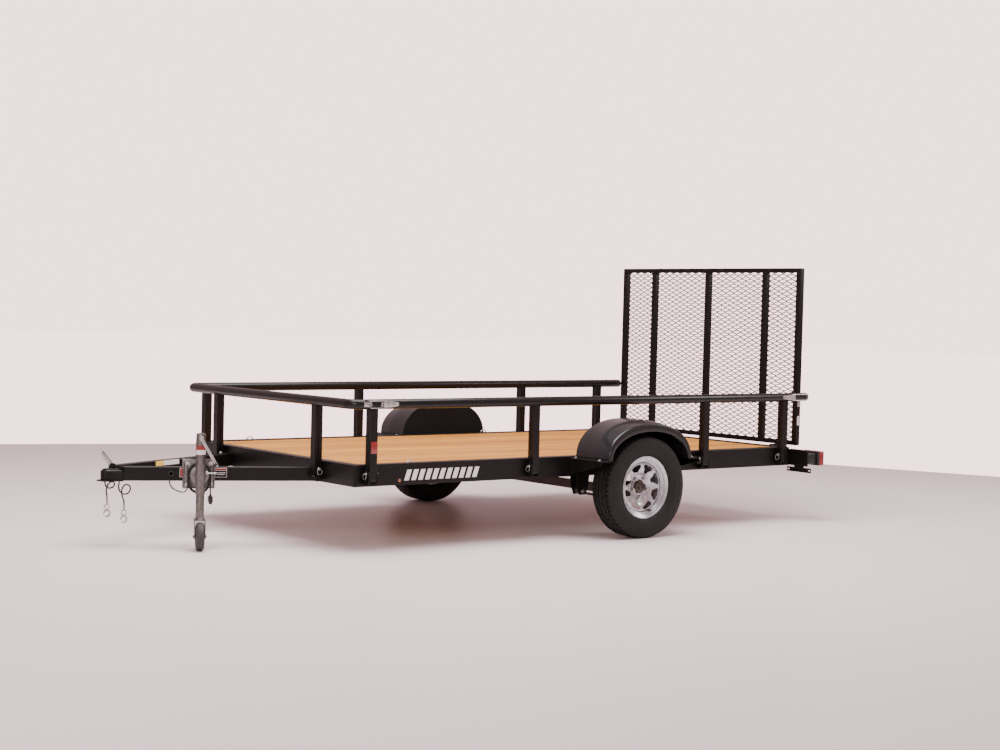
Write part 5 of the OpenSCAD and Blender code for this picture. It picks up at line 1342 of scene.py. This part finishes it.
finished("crank_arm", crank, zinc, "jack_crank", ["jack_crank"])
grip = bmesh.new()
lathe(grip, [(0.0044, 0.001), (0.0095, 0.001), (0.011, 0.003), (0.0105, 0.012), (0.0098, 0.024),
             (0.0105, 0.042), (0.0116, 0.058), (0.0116, 0.065), (0.0105, 0.0695), (0.0085, 0.0708),
             (0.0044, 0.071)], 36, outwards(grip_f, 0.1655, grip_z))
finished("crank_grip", grip, cover_finish, "jack_crank")

leg_r, leg_low = 0.022, 0.17
leg = bmesh.new()
lathe(leg, [(leg_r - 0.003, leg_low + 0.006), (0.0001, leg_low + 0.006), (0.0001, leg_low), (leg_r, leg_low),
            (leg_r, 0.499), (leg_r - 0.0005, 0.5), (leg_r - 0.003, 0.5)], 56, jack_place @ moved(0, tube_n,
                    0))
finished("jack_inner_leg", leg, jack_zinc_reflection_shaded, "jack_leg", ["jack_leg"])

fork = bmesh.new()
axle_n, axle_z, cheek_f = 0.162, 0.076, 0.0275
cored(fork, [(0.0265, 0.1637), (0.028, 0.165), (0.028, 0.168), (0.0265, 0.1697)], 48, jack_place
      @ moved(0, tube_n, 0))
put_in(fork, block((0.059, 0.066, 0.006), 0.0024, 3, (0, 0.129, 0.161)), jack_place)
for s in (1, -1):
    outline = [(0.097, 0.1635), (0.162, 0.1635), (0.1765, 0.09), (0.176, 0.072), (0.17, 0.064),
               (0.162, 0.0615), (0.154, 0.064), (0.148, 0.072), (0.097, 0.133)]
    cheek = thick([(0, n, z) for n, z in outline], (0.004, 0, 0))
    bmesh.ops.recalc_face_normals(cheek, faces=cheek.faces)
    soften(cheek, [e for e in cheek.edges if abs(e.verts[0].co.x - e.verts[1].co.x) < 1e-6], 0.001)
    put_in(fork, cheek, jack_place @ moved(s * cheek_f - 0.002, 0, 0))
    nut_side = jack_place @ moved(s * 0.0295, axle_n, axle_z) @ turned(s * 90, "Y")
    bolt_head(fork, nut_side, 0.014, 0.0055, 0.001, 0.0008)
rod(fork, 0.0059, -0.03, 0.03, 24, along_beam(0, axle_n, axle_z))
finished("caster_fork", fork, jack_zinc_reflection_shaded, "jack_caster", ["jack_fork"])

wheel_rubber = moulded("jack_wheel_rubber", ((0.022, 0.021, 0.02), (0.04, 0.038, 0.036)), (26.0, 520.0),
                       ("Speckle", 0.5, 0.72), ("Speckle", 0.25, 0.0004), {"Dust": 0.14, "Edge": 0.15},
                       [(0.26, 0.24, 0.22), (0.2, 0.19, 0.18)], specular_ior_level=0.35)
roller = bmesh.new()
half_w, roll_r = 0.0225, 0.076
crown_rows = [(roll_r - 0.0085, half_w - 0.002), (roll_r - 0.0035, half_w - 0.0055),
              (roll_r - 0.0008, half_w - 0.011), (roll_r, half_w - 0.015), (roll_r, 0.0016),
              (roll_r - 0.0009, 0.0008)]
side_rows = [(0.0064, 0.0215), (0.015, 0.0222), (0.0165, half_w - 0.003), (0.04, half_w - 0.0045),
             (0.05, half_w - 0.003), (0.052, half_w - 0.0008), (0.056, half_w), (0.062, half_w - 0.0004)]
half_line = side_rows + crown_rows
lathe(roller, half_line + [(r, -x) for r, x in reversed(half_line)], 64, along_beam(0, axle_n, axle_z))
finished("caster_wheel", roller, wheel_rubber, "jack_wheel", ["jack_wheel"])

# ---- Frame trims ----
# Small fittings on the frame: amber marker lamps in grommets, wire tie-down loops welded on the
# side beams' tops, and plain slanted bars painted on the left side.
amber, tree, shader = new_finish("amber_marker_lens", roughness=0.18, coat_weight=0.5)
cells = add_node(tree, "TexVoronoi", {"Vector": add_node(tree, "TexCoord").outputs["Object"], "Scale": 420.0,
                                      "Randomness": 0.0})
side_face_y = 0.8801
cell_share = cells.outputs["Distance"]
glowing = mix_tones(tree, cell_share, (0.24, 0.06, 0.02), (0.52, 0.15, 0.045))
link_finish(tree, shader, glowing, None, cell_share, 0.4, 0.0006)
for side, sign in (("left", 1), ("right", -1)):
    spot = moved(0.945, sign * side_face_y, 0.381) @ turned(-sign * 90, "X")
    bm = bmesh.new()
    lathe(bm, [(0.0001, -0.002), (0.0078, -0.002), (0.0078, 0.0018), (0.006, 0.004), (0.003, 0.0052),
               (0.0001, 0.0056)], 28, spot)
    finished("amber_marker_" + side, bm, amber, "chassis")
    bm = bmesh.new()
    lathe(bm, [(0.008, -0.001), (0.013, -0.001), (0.013, 0.0016), (0.0118, 0.003), (0.0092, 0.0034),
               (0.008, 0.0024)], 32, spot)
    finished("marker_grommet_" + side, bm, cover_finish, "chassis")

frame_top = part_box("side_frame_left")[1].z
loops = bmesh.new()
for x in (0.868, -0.96):
    for sign in (1, -1):
        arch = bmesh.new()
        put_in(arch, torus(0.016, 0.0032, 24, 8, math.pi))
        put_in(loops, arch, moved(x, sign * 0.868, frame_top - 0.001) @ Matrix.Diagonal((1.3, 1, 1, 1))
               @ turned(90, "X"))
finished("tie_down_loops", loops, zinc, "chassis")

bars = bmesh.new()
bar_low, bar_high, bar_lean = 0.38, 0.438, 0.02
for k in range(11):
    start = 0.914 - k * 0.046
    outline = [(start, bar_low), (start - 0.03, bar_low), (start - 0.03 - bar_lean, bar_high),
               (start - bar_lean, bar_high)]
    stripe = thick([(x, side_face_y, z) for x, z in outline], (0, 0.0005, 0))
    bmesh.ops.recalc_face_normals(stripe, faces=stripe.faces)
    put_in(bars, stripe)
finished("slanted_side_bars", bars, paper, "chassis")
